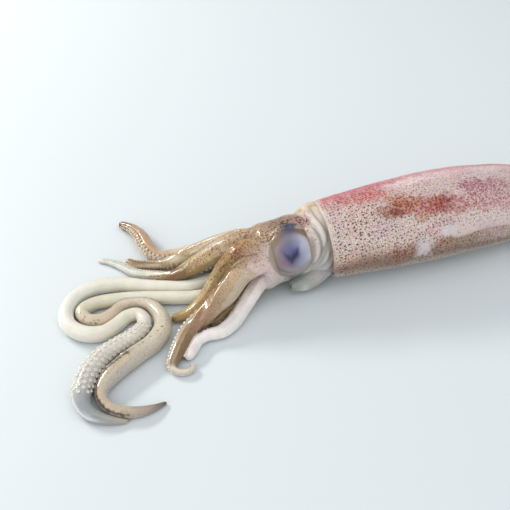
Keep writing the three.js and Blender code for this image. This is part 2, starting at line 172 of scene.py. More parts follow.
def soft_light(name, at, aim, size, power, colour):
    """A rectangular light that shines from one point in the room towards another, in metres."""
    light = bpy.data.lights.new(name, "AREA")
    light.shape = "RECTANGLE"
    light.size, light.size_y = size
    light.energy = power
    light.color = linear(colour)[:3]
    lamp = bpy.data.objects.new(name, light)
    lamp.location = at
    lamp.rotation_euler = (Vector(aim) - Vector(at)).to_track_quat("-Z", "Y").to_euler()
    scene.collection.objects.link(lamp)


soft_light("window", (-0.72, 0.74, 0.55), (-0.12, 0.0, 0.0), (0.46, 0.13), 9.0, "#fffdf8")
soft_light("left_fill", (-0.95, -0.35, 0.55), (-0.16, 0.0, 0.0), (0.6, 0.6), 2.0, "#f4f8ff")
soft_light("overhead", (0.15, -0.15, 1.1), (-0.05, 0.0, 0.0), (0.8, 0.8), 2.2, "#fbfbff")
print("lights:", [o.name for o in scene.objects if o.type == "LIGHT"])

# %% [markdown]
# ## Rings and rows
#
# Almost every part of a squid is a tube that gets thicker, thinner or flatter along its length.
# One helper makes them all: a flat grid is rolled up, so that its columns run along the tube and
# its rows run round it, and then each point is placed by a rule. The seam and the two ends close
# when the doubled points merge. The grid's own rows and columns also give a UV map in
# millimetres of skin, which the dots need to keep their size.
# A table with eased steps gives the widths along a part from a few measured places.

# %% Eased steps


def hermite(start, leave, end, arrive, s):
    """A place at share s on the way from start to end, with the slopes leave and arrive."""
    first = start * (2 * s ** 3 - 3 * s ** 2 + 1) + leave * (s ** 3 - 2 * s ** 2 + s)
    return first + end * (3 * s ** 2 - 2 * s ** 3) + arrive * (s ** 3 - s ** 2)


def eased(rows, at):
    """A value read from rows of (place, value), with smooth slopes between them."""
    if at <= rows[0][0]:
        return rows[0][1]
    for i in range(1, len(rows)):
        if at > rows[i][0]:
            continue
        (x0, y0), (x1, y1) = rows[i - 1], rows[i]
        xa, ya = rows[max(i - 2, 0)]
        xb, yb = rows[min(i + 1, len(rows) - 1)]
        step = x1 - x0
        leave = (y1 - ya) / (x1 - xa) * step
        arrive = (yb - y0) / (xb - x0) * step
        return hermite(y0, leave, y1, arrive, (at - x0) / step)
    return rows[-1][1]


def rise(low, high, value):
    """0 up to low, 1 from high on, and a smooth rise between."""
    share = min(max((value - low) / (high - low), 0.0), 1.0)
    return share * share * (3 - 2 * share)


def bump(middle, half, value):
    """1 at the middle, falling smoothly to nearly 0 two half widths away."""
    return math.exp(-((value - middle) / half) ** 2)


def wobble(point_mm, size, seed=0.0):
    """Smooth noise from about -1 to 1 at a point in mm, with lumps of about that size."""
    return noise.noise(Vector(point_mm) / size + Vector((seed, seed * 1.7, -seed)))


print("eased half way:", eased([(0, 0), (1, 1)], 0.5))

# %% Rolled-up grid
MERGE_DISTANCE = 1e-6


def loft(name, rings, sides, place, skin, seam=-math.pi):
    """A closed tube of skin. place(ring, angle) gives a point in mm and skin(ring, angle) the
    same point's place on the flat skin, in mm. The angle starts at the seam."""
    work = bmesh.new()
    bmesh.ops.create_grid(work, x_segments=rings, y_segments=sides, size=0.5)
    where = {}
    for vertex in work.verts:
        ring = round((vertex.co.x + 0.5) * rings)
        where[vertex] = (ring, seam + round((vertex.co.y + 0.5) * sides) / sides * math.tau)
    layer = work.loops.layers.uv.new("skin_mm")
    for face in work.faces:
        for corner in face.loops:
            corner[layer].uv = skin(*where[corner.vert])
    for vertex, (ring, angle) in where.items():
        vertex.co = Vector(place(ring, angle)) * MM
    bmesh.ops.remove_doubles(work, verts=work.verts, dist=MERGE_DISTANCE)
    bmesh.ops.recalc_face_normals(work, faces=work.faces)
    return finished(work, name)


print("points closer than", MERGE_DISTANCE, "m merge")

# %% [markdown]
# ## The mantle
#
# The mantle is the squid's body tube, 200 mm long here, and the animal lies rolled about 40
# degrees onto its right side. Angles round the body start at the middle of the back and grow
# towards the left side, the one we see. The tube is thick-walled and open round the neck, so the
# profile starts deep inside the opening, comes forward along the inner wall, turns over a soft
# round lip and runs back to the tail.

# %% Mantle measures
RIM_X = -80
TAIL_X = 120
ROLL = math.radians(40)
SQUASH = 0.93
HALF_WIDTH = [
    (-80, 21.2), (-62, 22.9), (-42, 24.2), (-20, 24.8), (2, 24.3), (24, 22.6), (46, 19.4),
    (66, 15.4), (84, 11.2), (100, 7.4), (111, 4.8), (120, 2.4)]
LIFT = [(-80, 1.7), (-60, 0.4), (-40, -0.5), (104, -0.5), (120, 0)]
BACK = Vector((0, math.sin(ROLL), math.cos(ROLL)))
LEFT = Vector((0, -math.cos(ROLL), math.sin(ROLL)))


def around(angle):
    """A direction round the body, from the back's midline towards the left side."""
    return BACK * math.cos(angle) + LEFT * math.sin(angle)


def mantle_radius(x):
    """Half the mantle's width at x, in mm."""
    return eased(HALF_WIDTH, x)


def mantle_middle(x):
    """The middle of the mantle at x, in mm above the table."""
    return Vector((x, 0, mantle_radius(x) * SQUASH + eased(LIFT, x)))


def mantle_point(x, angle, above=0.0):
    """A point on the mantle, or above it, in mm."""
    way = around(angle)
    radius = mantle_radius(x) + above
    return mantle_middle(x) + Vector((0, way.y * radius, way.z * radius * SQUASH))


print("half width at the rim:", mantle_radius(RIM_X), "mm")

# %% Mantle stations
WALL = 2.6
POCKET = 15
INNER_STEP = 1.0
OUTER_STEP = 0.9
LIP_STEPS = 10
TAIL_CAP = 2

# Each station is (x, depth under the outer skin, share of the radius left at a pole).
mantle_stations = [(RIM_X + POCKET, WALL, 0.0)]
for i in range(int((POCKET - WALL) / INNER_STEP)):
    mantle_stations.append((RIM_X + POCKET - i * INNER_STEP, WALL, 1.0))
for i in range(LIP_STEPS + 1):
    turn = math.pi * i / LIP_STEPS
    x = RIM_X + WALL / 2 * (1 - math.sin(turn))
    mantle_stations.append((x, WALL / 2 * (1 + math.cos(turn)), 1.0))
outer_length = TAIL_X - TAIL_CAP - RIM_X - WALL / 2
outer_count = int(outer_length / OUTER_STEP)
for i in range(1, outer_count + 1):
    mantle_stations.append((RIM_X + WALL / 2 + outer_length * i / outer_count, 0.0, 1.0))
mantle_stations += [(TAIL_X - 0.9, 0.0, 0.82), (TAIL_X - 0.2, 0.0, 0.45), (TAIL_X, 0.0, 0.0)]
print("mantle rings:", len(mantle_stations))

# %% Mantle flesh
RIM_FORWARD_BACK = 2.2
RIM_FORWARD_SIDES = 3.0
RIM_CUT_BELOW = 0.9
RIM_DRAWS = 25
MANTLE_SIDES = 176
MANTLE_SEAM = math.radians(140 - 360)


def rim_shift(angle):
    """How far back the rim lies, in mm: it reaches a little forward at the middle of the back,
    further along both sides, and is cut back slightly below."""
    side = abs(math.degrees(math.remainder(angle, math.tau)))
    sides = RIM_FORWARD_SIDES * rise(10, 40, side) * (1 - rise(138, 175, side))
    return RIM_CUT_BELOW * bump(180, 40, side) - (RIM_FORWARD_BACK * bump(0, 28, side) + sides)


def mantle_place(ring, angle):
    """A point of the uneven flesh. The shift of the rim fades out over RIM_DRAWS mm."""
    x, depth, share = mantle_stations[ring]
    point = mantle_point(x, angle, -depth)
    lump = 0.28 * wobble(point, 16) + 0.1 * wobble(point, 5, 3.0)
    lump += 0.18 * bump(RIM_X + 4, 6, x) * wobble((angle * 9, x * 0.2, 0), 1.0, 7.0)
    point = mantle_middle(x).lerp(mantle_point(x, angle, lump - depth), share)
    point.x += rim_shift(angle) * min(max(1 - (x - RIM_X) / RIM_DRAWS, 0), 1)
    point.z = max(point.z, 0)
    return point


def mantle_skin(ring, angle):
    """The place on the flat skin. The depth keeps the lip's dots apart from the outside's."""
    x, depth, _ = mantle_stations[ring]
    return (x - depth * 3, angle * max(mantle_radius(x), 6))


mantle_flesh = loft(
    "mantle_flesh", len(mantle_stations) - 1, MANTLE_SIDES, mantle_place, mantle_skin, MANTLE_SEAM)
print("mantle faces:", len(mantle_flesh.data.polygons))

# %% [markdown]
# ## The fins
#
# Each fin is a flat muscle with a blunt front corner and a tip that runs out along the tail. The
# left one has flopped over the flank like a wet cloth, and the right one hangs from the far side
# onto the table. A fin is thickest at its root and thins to a soft edge, so its section is a
# long drop, made by the same rolled grid: half the rows are the top, half the underside.

# %% Fin measures
FIN_START = -19
FIN_END = 119
FIN_REACH = 27
FIN_ROOT = math.radians(58)
FIN_CLOSING = 0.35
FIN_WIDTH = [
    (0, 0.66), (0.012, 0.92), (0.03, 1.05), (0.07, 1.07), (0.13, 1.02), (0.25, 1), (0.42, 1),
    (0.56, 0.91), (0.7, 0.69), (0.82, 0.43), (0.93, 0.2), (1, 0.06)]
FIN_FRONT_LOBE = 4.5
FIN_THICK = 1.8
# The left fin's width is measured along an arc this far outside the mantle, in mm.
FIN_ARC_ABOVE = 2
RIPPLE_HEIGHT = 0.55
RIPPLE_RADIANS = 17


def fin_root(share):
    """The angle between the back's midline and a fin's root, which closes in at the tail."""
    return FIN_ROOT * (1 - FIN_CLOSING * share ** 2)


def fin_thickness(share, across):
    """Thin at the root's seam and the edge, and rounded at the front and the tail."""
    thick = FIN_THICK * (1 - 0.5 * across) * (1 - across ** 10) ** 0.5 * rise(0, 0.05, across)
    return thick * math.sqrt(min(1, 14 * min(share, 1 - share)))


def fin_ripple(x, width, share, across):
    """How far the fin waves up and down, most of all at its edge."""
    wave = RIPPLE_HEIGHT * across ** 3 * math.sin(share * RIPPLE_RADIANS)
    return wave + 0.3 * wobble((x, width, 0), 9, 4.0)


print("the fins' roots close in from", round(math.degrees(fin_root(0))), "to",
      round(math.degrees(fin_root(1))), "degrees")

# %% Fin flesh
FIN_RINGS = 150
FIN_SIDES = 84
FIN_CROWDING = 1.35
FIN_SKIN_AT = 40


def flopped(x, width, share, across, thick):
    """A point of the left fin, which lies on the flank and lifts off it in soft ripples."""
    front = rise(0, 0.13, share)
    lift = abs(fin_ripple(x, width, share, across)) * rise(0.1, 0.8, across) * front
    above = 0.25 + lift + thick * (0.3 + 0.7 * front)
    above -= 0.9 * (1 - rise(0, 0.16, across)) + 0.25 * (1 - rise(0, 0.03, share))
    return mantle_point(x, fin_root(share) + width / (mantle_radius(x) + FIN_ARC_ABOVE), above)


def hanging(x, width, share, across, thick):
    """A point of the right fin, which falls from its root in a curve and lies on the table."""
    foot = mantle_point(x, -fin_root(share), -0.4)
    lean = min(width / 30, 1)
    fall = foot.z * min(1.16 * (1 - math.exp(-((width / 17) ** 1.6))), 1)
    point = foot + Vector((0, width * (0.93 - 0.25 * lean), -fall))
    point.z = max(point.z + fin_ripple(x, width, share, across) * 0.6, 0.05) + thick
    return point


def fin_grid(ring, angle):
    """The share along the root and the share across to the edge. The rings crowd in front."""
    return (ring / FIN_RINGS) ** FIN_CROWDING, (1 - math.cos(angle + math.pi)) / 2


def fin(name, hand):
    def place(ring, angle):
        share, across = fin_grid(ring, angle)
        x = FIN_START + (FIN_END - FIN_START) * share - FIN_FRONT_LOBE * across * (1 - share)
        width = eased(FIN_WIDTH, share) * FIN_REACH * across
        on_top = 0 < angle + math.pi < math.pi
        thick = fin_thickness(share, across) if on_top else 0.0
        form = flopped if hand == "left" else hanging
        return form(x, width, share, across, thick)

    def skin(ring, angle):
        share, across = fin_grid(ring, angle)
        return (FIN_START + share * (FIN_END - FIN_START), FIN_SKIN_AT + FIN_REACH * across)

    return loft(name, FIN_RINGS, FIN_SIDES, place, skin)


fin_flesh = {hand: fin("fin_flesh_" + hand, hand) for hand in ("left", "right")}
print("fin faces:", len(fin_flesh["left"].data.polygons))

# %% [markdown]
# ## Lines for the limbs
#
# An arm or a tentacle is described by a few stops along its middle, each with a place and a
# radius, the same stops that its solid has. A smooth curve runs through them, and it is sampled
# at even steps of half a millimetre to a millimetre. Each sample knows where it is, which way the
# limb runs there, and what lies above and beside it, so a section can be drawn round it.

# %% Limb lines
Sample = namedtuple("Sample", "at ahead side up radius share run")
SUBSTEPS = 24


def smooth_line(stops):
    """Points of four numbers on a centripetal Catmull-Rom curve through the stops."""
    rows = [Vector(stop) for stop in stops]
    rows = [rows[0] * 2 - rows[1]] + rows + [rows[-1] * 2 - rows[-2]]
    line = []
    for p0, p1, p2, p3 in zip(rows, rows[1:], rows[2:], rows[3:]):
        pairs = ((p0, p1), (p1, p2), (p2, p3))
        d0, d1, d2 = (max((b.xyz - a.xyz).length, 1e-6) ** 0.5 for a, b in pairs)
        leave = ((p1 - p0) / d0 - (p2 - p0) / (d0 + d1) + (p2 - p1) / d1) * d1
        arrive = ((p2 - p1) / d1 - (p3 - p1) / (d1 + d2) + (p3 - p2) / d2) * d1
        line += [hermite(p1, leave, p2, arrive, i / SUBSTEPS) for i in range(SUBSTEPS)]
    return line + [rows[-2]]


def samples_along(stops, pitch):
    """Samples every pitch mm along a limb, from its first stop to its last."""
    line = smooth_line(stops)
    runs = [0.0]
    for a, b in zip(line, line[1:]):
        runs.append(runs[-1] + (b.xyz - a.xyz).length)
    count = max(round(runs[-1] / pitch), 8)
    points = []
    k = 0
    for i in range(count + 1):
        run = runs[-1] * i / count
        while k < len(runs) - 2 and runs[k + 1] < run:
            k += 1
        step = max(runs[k + 1] - runs[k], 1e-9)
        points.append((run, line[k].lerp(line[k + 1], min((run - runs[k]) / step, 1))))
    samples = []
    for i, (run, point) in enumerate(points):
        before, after = points[max(i - 1, 0)][1], points[min(i + 1, count)][1]
        ahead = (after.xyz - before.xyz).normalized()
        side = ahead.cross(Vector((0, 0, 1))).normalized()
        up = side.cross(ahead)
        samples.append(Sample(point.xyz, ahead, side, up, point.w, run / runs[-1], run))
    return samples


print("a straight limb has", len(samples_along([(0, 0, 0, 1), (10, 0, 0, 1)], 1)), "samples")

# %% Limb flesh
LIMB_PITCH = 0.6
UNEVENNESS = 0.035


def keel_at(keel, share):
    """The angle of a limb's outer face, in radians, from rows of (share, degrees)."""
    return math.radians(eased(keel, share))


def turned(angle, keel):
    """How far an angle is from the keel, from -pi to pi."""
    return math.remainder(angle - keel, math.tau)


def round_section(angle, share):
    """The section of a limb that is plainly round."""
    return 1.0


def limb(name, stops, section, pitch, sides):
    """A soft tube along the stops, with round ends, that rests on the table. section(angle,
    share) scales its radius, with the angle measured from straight up."""
    samples = samples_along(stops, pitch)
    length = samples[-1].run
    first, last = stops[0][3], stops[-1][3]

    def radius_at(sample):
        cap = 1.0
        if sample.run < first:
            cap = math.sqrt(max(1 - (1 - sample.run / first) ** 2, 0))
        if length - sample.run < last:
            cap = math.sqrt(max(1 - (1 - (length - sample.run) / last) ** 2, 0))
        return sample.radius * cap

    def place(ring, angle):
        sample = samples[ring]
        radius = radius_at(sample) * section(angle, sample.share)
        radius *= 1 + UNEVENNESS * wobble(sample.at, 6, 2.0)
        point = sample.at + sample.up * radius * math.cos(angle)
        point += sample.side * radius * math.sin(angle)
        point.z = max(point.z, 0)
        return point

    def skin(ring, angle):
        return (samples[ring].run, angle * max(samples[ring].radius, 1.0))

    return loft(name, len(samples) - 1, sides, place, skin)


print("a keel a quarter turn further on is", turned(math.pi / 2, keel_at([(0, 0)], 0)), "away")

# %% [markdown]
# ## The arms
#
# Eight arms stand in a ring round the mouth. An arm has a sharp keel along its outer face, a
# flatter inner face with two rows of suckers, and it tapers to a fine tip. As it lies it also
# rolls over, so the keel's angle changes along it.

# %% Arm stops
CROWN = Vector((-115, 0, 18.5))
CROWN_RADIUS = 12.4

# at: degrees round the crown, root: radius there, keel: (share, degrees) of the outer face,
# stops: x, y, z and radius in mm from the crown to the tip.
ARMS = {
    "arm_left_1": {
        "at": 19, "root": 4.3, "keel": [(0, -25), (0.5, -25), (0.62, -100), (0.8, -150), (1, -160)],
        "stops": [
            (-128.7, 5.5, 26.5, 5), (-136.7, 7.9, 20.5, 5.2), (-144.2, 10.7, 14, 5),
            (-150.9, 12.5, 9, 4.2), (-156.9, 12.9, 6.8, 3.2), (-162.6, 16.4, 4.6, 2.5),
            (-169.6, 22.0, 2.4, 2.4), (-177.3, 26.7, 2.3, 2.3), (-182.9, 34.2, 2.0, 2.0),
            (-188.5, 39.8, 1.6, 1.5), (-193.6, 43.1, 1.3, 1.3)]},
    "arm_left_2": {
        "at": 58, "root": 4.4, "keel": [(0, -30), (1, -20)],
        "stops": [
            (-127.8, -3.7, 29, 4.2), (-134.4, -4.7, 24, 3.6), (-140.5, -6.2, 17.5, 3.1),
            (-146.7, -9.8, 11.5, 2.9), (-152.2, -12.3, 6.8, 2.8), (-157.1, -13.5, 4.2, 2.8),
            (-162, -13.4, 2.8, 2.6), (-165.8, -12.4, 2.3, 2.2)]},
    "arm_left_3": {
        "at": 104, "root": 4.8, "keel": [(0, 25), (0.3, 20), (0.5, -50), (0.6, -78), (1, -88)],
        "stops": [
            (-127.6, -11, 20.5, 5.4), (-137.4, -15.6, 14.5, 5.5), (-147.4, -19.4, 9, 4.9),
            (-155.5, -22.2, 5.2, 4.4), (-161.8, -26.9, 3.9, 3.9), (-166.2, -32.7, 3.7, 3.7),
            (-170.1, -38.3, 3.2, 3.2), (-172.9, -42.6, 2.2, 2.2), (-171.2, -46.2, 1.8, 1.8),
            (-166.3, -47.8, 1.7, 1.7), (-162.9, -45.9, 1.5, 1.3), (-164.1, -43.4, 1.2, 0.9)]},
    "arm_left_4": {
        "at": 156, "root": 4.5, "keel": [(0, 40), (1, 20)],
        "stops": [
            (-124.8, -15.1, 8, 4.2), (-130, -19.1, 5, 3.9), (-136.3, -25.2, 3.7, 3.7),
            (-144.4, -29.9, 3.3, 3.4), (-151.5, -29.8, 2.9, 3), (-156.8, -31.7, 2.7, 2.7),
            (-160.8, -36.3, 2.6, 2.6), (-165, -40.9, 2.1, 2)]},
    "arm_right_1": {
        "at": -19, "root": 4.3, "keel": [(0, 0), (0.5, 0), (0.72, 120), (1, 175)],
        "stops": [
            (-123.3, 14.9, 22, 4.3), (-130.2, 17.5, 19, 4.2), (-137.2, 20.2, 15.5, 4.1),
            (-145.7, 21.8, 11.5, 3.9), (-154.5, 22.3, 8.2, 3.6), (-162.6, 25.8, 4.6, 2.7),
            (-169.2, 29.3, 2.8, 2.8), (-175.2, 31.9, 2.6, 2.6), (-178.9, 36.8, 2.2, 1.9)]},
    "arm_right_2": {
        "at": -60, "root": 4.3, "keel": [(0, 20), (0.35, 30), (0.5, 117), (1, 117)],
        "stops": [
            (-122.3, 22.4, 11, 4.4), (-133.3, 27.4, 7, 4.3), (-144.9, 30.6, 4.2, 4.1),
            (-154.9, 31, 3.8, 3.9), (-162.5, 33.8, 3.6, 3.6), (-166.2, 42.3, 4.1, 4.1),
            (-167.6, 52.1, 3.8, 3.9), (-170.4, 60.6, 3, 3), (-174, 65.9, 2.4, 2.4),
            (-176.9, 69, 2.0, 1.8)]},
    "arm_right_3": {
        "at": -106, "root": 4.8, "keel": [(0, 0), (1, 0)],
        "stops": [
            (-123, 13.6, 5.6, 4.7), (-134, 18.4, 4, 4), (-146, 20, 2.7, 2.8),
            (-156, 18.2, 1.8, 1.9), (-164.1, 18.6, 1.2, 1.1)]},
    "arm_right_4": {
        "at": -158, "root": 4.2, "keel": [(0, 0), (1, 0)],
        "stops": [
            (-124, -4.6, 5.2, 3.9), (-131, -9.5, 3.8, 3.3), (-136.5, -15.2, 2.8, 2.7),
            (-142.5, -19.4, 2.1, 2.1), (-147.3, -22.5, 1.7, 1.6), (-145.6, -25, 1.5, 1.4),
            (-140.7, -22, 1.2, 0.9)]},
}


def root_stops(at, root, ring):
    """The first two stops of a limb, inside the head, on a ring round the crown's middle."""
    way = CROWN + around(math.radians(at)) * ring
    return [(CROWN.x + 4, way.y, way.z, root * 0.92), (CROWN.x - 2, way.y, way.z, root)]


for arm in ARMS.values():
    arm["stops"] = root_stops(arm["at"], arm["root"], CROWN_RADIUS) + arm["stops"]
print("arm stops:", sum(len(arm["stops"]) for arm in ARMS.values()))

# %% Arm skins
ARM_TURNS = 44
KEEL_HEIGHT = 0.17
KEEL_WIDTH = 0.28
INNER_FLATNESS = 0.1
# height as a share of the radius, angle from the keel and half width of a pair of ridges.
ARM_RIDGES = [(0.07, 2.35, 0.22), (0.10, 1.05, 0.2)]


def arm_section(keel):
    """A section with a sharp keel, a ridge along each edge of the outer face, a flatter inner face
    and a low ridge on each side of that."""
    def section(angle, share):
        a = turned(angle, keel_at(keel, share))
        ridge = 0.0
        for height, at, half in ARM_RIDGES:
            ridge += height * (bump(at, half, a) + bump(-at, half, a))
        flat = INNER_FLATNESS * max(0, -math.cos(a)) ** 3
        return 0.97 + KEEL_HEIGHT * bump(0, KEEL_WIDTH, a) - flat + ridge
    return section


arm_tubes = [
    limb(name, arm["stops"], arm_section(arm["keel"]), LIMB_PITCH, ARM_TURNS)
    for name, arm in ARMS.items()]
print("arms:", len(arm_tubes))

# %% [markdown]
# ## The head
#
# The head is a short thick neck that widens into the ring of arms. Over the neck lies a raised
# collar fold, cream white, that is highest at the back and slants down behind the eyes. A small
# soft flap stands behind the eye, and a low brow hangs over it. All of these are first made as
# loose closed shapes that overlap.

# %% Head core
HEAD_PITCH = 0.6
HEAD_TURNS = 120
# x, the middle's y and z, and half the height and half the width there, in mm.
HEAD = [
    (-68, 0, 20.6, 11.2, 11.2), (-70, 0, 20.7, 12.6, 12.6), (-74, 0.2, 21.2, 16.6, 16.8),
    (-78, 0.4, 21.4, 17.9, 18.2), (-82, 0.6, 21.4, 17.7, 18.0), (-86, 0.9, 21, 16.7, 16.2),
    (-90.2, 1.1, 20.8, 16.2, 15.0), (-94, 1.2, 20.6, 16.4, 14.6), (-99, 1.2, 20.3, 16.6, 14.3),
    (-104, 0.9, 19.9, 16.4, 14.4), (-109, 0.5, 19.3, 16.6, 15.4), (-113, 0.1, 18.8, 17.0, 16.6),
    (-115.6, 0, 18.6, 16.4, 16.2), (-117.6, 0, 18.5, 13.6, 13.6), (-118.6, 0, 18.5, 8, 8)]


def head_row(x):
    """Middle y and z, half height and half width of the head at x."""
    return [eased([(-row[0], row[k]) for row in HEAD], -x) for k in (1, 2, 3, 4)]


def head_point(x, angle, above=0.0):
    """A point on the head's skin, or above it."""
    y, z, high, wide = head_row(x)
    way = BACK * ((high + above) * math.cos(angle)) + LEFT * ((wide + above) * math.sin(angle))
    return Vector((x, y, z)) + way


head_front, head_end = HEAD[-1][0], HEAD[0][0]
head_count = round((head_end - head_front) / HEAD_PITCH)
head_stations = [(head_end, 0.0)]
for i in range(head_count + 1):
    head_stations.append((head_end + (head_front - head_end) * i / head_count, 1.0))
head_stations.append((head_front - 0.5, 0.0))


def head_place(ring, angle):
    """A point of the uneven head, with a shallow dent over its top from the eyes to the collar."""
    x, share = head_stations[ring]
    y, z, _, _ = head_row(x)
    point = head_point(x, angle)
    dent = -0.7 * bump(-92.5, 3.0, x) * bump(math.radians(20), 1.1, angle)
    point = head_point(x, angle, dent + 0.3 * wobble(point, 7, 5.0))
    return Vector((x, y, z)).lerp(point, share)


def plain_skin(ring, angle):
    """A rough flat map for the head and the funnel, whose dots are laid out in space."""
    return (ring * HEAD_PITCH, angle * 15)


head_core = loft("head_core", len(head_stations) - 1, HEAD_TURNS, head_place, plain_skin)
print("head faces:", len(head_core.data.polygons))

# %% Folds round the head
FOLD_PITCH = 0.5
FOLD_TURNS = 20
# radius in mm, then x, degrees, height above the skin and share of the radius along each fold.
FOLDS = {
    "collar": (1.7, [
        (-84.6, -34, -0.6, 0.7), (-85.6, -10, 0.0, 0.9), (-87.2, 15, 0.5, 1.1),
        (-88.2, 38, 0.7, 1.2), (-87.4, 54, 0.8, 1.15), (-86.2, 66, 0.8, 1.05),
        (-85.3, 80, 0.6, 1.0), (-85.6, 92, 0.3, 0.9), (-87.4, 103, -0.5, 0.6)]),
    "nuchal": (2.0, [
        (-92.6, 2, -0.2, 0.35), (-90.0, 0, 0.5, 0.7), (-87.0, 0, 0.9, 1.0),
        (-84.0, 2, 0.9, 1.15), (-80.6, 4, 0.2, 0.9)]),
    "neck_streak": (1.2, [
        (-83.4, 104, -0.3, 0.6), (-84.6, 116, 0.3, 1.0), (-86.4, 128, 0.3, 1.0),
        (-89.0, 142, -0.4, 0.7)]),
    "neck_streak_below": (1.2, [
        (-81.6, 116, -0.3, 0.7), (-82.8, 130, 0.3, 1.0), (-85.2, 144, 0.3, 1.0),
        (-88.4, 156, -0.4, 0.7)]),
    "eye_flap": (3.4, [
        (-92.4, 58, -0.6, 0.5), (-91.2, 70, 0.4, 0.85), (-90.5, 84, 0.8, 1.0),
        (-90.4, 98, 0.8, 1.05), (-91.0, 112, 0.4, 0.95), (-92.8, 126, -0.8, 0.55)]),
}


def fold(name, thick, path):
    """A soft ridge that lies on the head."""
    stops = []
    for x, degrees, above, share in path:
        point = head_point(x, math.radians(degrees), above)
        stops.append((*point, thick * share))
    return limb(name, stops, round_section, FOLD_PITCH, FOLD_TURNS)


folds = [fold(name, *shape) for name, shape in FOLDS.items()]
print("folds:", [piece.name for piece in folds])

# %% Brow over the eye
EYE_AT = Vector((-101.6, 0.2, 19.6))
# along, up and out from the middle of an eye, in mm, and radius, of the brow over it.
BROW = [(-11.5, 5.5, 11.0, 0.8), (-7.5, 9.2, 12.6, 1.9), (-1, 11.0, 13.2, 2.6),
        (5.5, 10.0, 13.0, 2.3), (10, 6.5, 11.8, 0.9)]


def brow_stops(hand):
    """The brow's stops over the left eye, where hand is 1, or the right one, where it is -1."""
    stops = []
    for along, up, out, radius in BROW:
        spot = EYE_AT + Vector((along, 0, 0)) + BACK * up + LEFT * (out * hand)
        stops.append((*spot, radius))
    return stops


brows = [
    limb("brow", brow_stops(hand), round_section, FOLD_PITCH, FOLD_TURNS) for hand in (1, -1)]
print("brows:", len(brows))

# %% [markdown]
# ## One skin over head and arms
#
# On a real squid there is no step where an arm meets the head: one skin covers both, with a web
# between the arms. The loose shapes are joined, remeshed into one closed surface and smoothed a
# little. That rounds every crease as flesh does, and fills the narrow gaps between the arms' roots.

# %% Fuse head and arms
SKIN_VOXEL = 0.53
SKIN_SMOOTHING = 4


def fused(name, pieces, voxel, rounds):
    """One continuous skin over overlapping pieces, which are used up."""
    work = bmesh.new()
    for piece in pieces:
        work.from_mesh(piece.data)
        bpy.data.objects.remove(piece)
    whole = finished(work, name)
    remesh = whole.modifiers.new("remesh", "REMESH")
    remesh.mode = "VOXEL"
    remesh.voxel_size = voxel * MM
    remesh.use_smooth_shade = True
    smooth = whole.modifiers.new("smooth", "SMOOTH")
    smooth.factor = 0.5
    smooth.iterations = rounds
    graph = bpy.context.evaluated_depsgraph_get()
    mesh = bpy.data.meshes.new_from_object(whole.evaluated_get(graph))
    whole.modifiers.clear()
    whole.data = mesh
    return whole


head_pieces = [head_core] + arm_tubes + folds + brows
head_skin = fused("head_and_arms", head_pieces, SKIN_VOXEL, SKIN_SMOOTHING)
print("skin faces:", len(head_skin.data.polygons))

# %% [markdown]
# ## The tentacles
#
# The two tentacles are much longer than the arms, round in section, and smooth and white as
# porcelain where they are stretched. Each ends in a club, a flattened leaf-shaped hand with four
# rows of suckers.

# %% Tentacle stops
TENTACLES = {
    "tentacle_right": {
        "at": -125, "root": 3.2,
        "stops": [
            (-124, 5.2, 11.5, 3.3), (-132.4, 7.7, 5.4, 3.5), (-141.9, 6.8, 3.6, 3.5),
            (-152.4, 5.9, 3.4, 3.5), (-163.8, 9.3, 3.4, 3.5), (-173.6, 13.1, 3.5, 3.6),
            (-184.7, 17.9, 3.7, 3.8), (-195.4, 19.6, 3.8, 3.9), (-203.3, 18.4, 3.8, 3.9),
            (-211, 13.5, 3.8, 3.9), (-215.4, 5.1, 3.8, 4), (-214.7, -4, 3.9, 4.1),
            (-208, -11.2, 3.9, 4.1), (-200, -13.2, 3.8, 4), (-193, -10, 3.7, 3.8),
            (-186.7, -5.8, 3.6, 3.6), (-181.6, -5.4, 3.5, 3.4), (-179.1, -9.6, 3.5, 3.5),
            (-180.6, -15.7, 3.7, 3.8), (-186.3, -20.3, 3.9, 4), (-194, -23.5, 3.9, 4.2),
            (-202.8, -28.3, 4, 4.6), (-209.6, -35.3, 4.2, 5), (-214.3, -43.5, 4.1, 4.9),
            (-215.9, -50.5, 3.8, 4.3), (-214.4, -57.4, 3.2, 3.4), (-209.9, -61.9, 2.6, 2.7),
            (-204.2, -64.8, 1.9, 1.9), (-198.2, -66.4, 1, 0.9)]},
    "tentacle_left": {
        "at": 110, "root": 3.2,
        "stops": [
            (-123, -2.2, 14.5, 3.2), (-132, -0.2, 8.6, 3.4), (-138.8, -3, 3.8, 3.5),
            (-150.9, -2.5, 3.4, 3.5), (-165.6, 1.7, 3.4, 3.5), (-180.3, 6.1, 3.4, 3.5),
            (-192.8, 8.3, 3.4, 3.5), (-201.7, 8.2, 3.5, 3.5), (-207.4, 4.5, 3.6, 3.5),
            (-206, -1.3, 3.5, 3.4), (-199.4, -3.9, 3.4, 3.4), (-193.5, -1.6, 3.3, 3.2),
            (-187.1, 2.9, 3.2, 3.1), (-179.9, 3, 3.1, 3), (-173.9, -1.5, 3.4, 3.3),
            (-170.7, -10.6, 3.9, 3.9), (-171.8, -19.9, 4.3, 4.6), (-178.2, -27.4, 4.3, 4.7),
            (-186.2, -31.7, 4.3, 4.7), (-194.8, -36.6, 4.2, 4.7), (-202.4, -42.2, 4.1, 4.3),
            (-206.9, -48.3, 3.4, 3.1), (-206.5, -54.8, 3, 2.8), (-202.8, -59.9, 2.9, 2.8),
            (-195.9, -63.3, 2.7, 2.7), (-187.8, -63.6, 2.0, 1.9), (-179.6, -61.5, 0.9, 0.7)]},
}
TENTACLE_RING = 4.2
TENTACLE_TURNS = 36

for tentacle in TENTACLES.values():
    start = root_stops(tentacle["at"], tentacle["root"], TENTACLE_RING)
    tentacle["stops"] = start + tentacle["stops"]

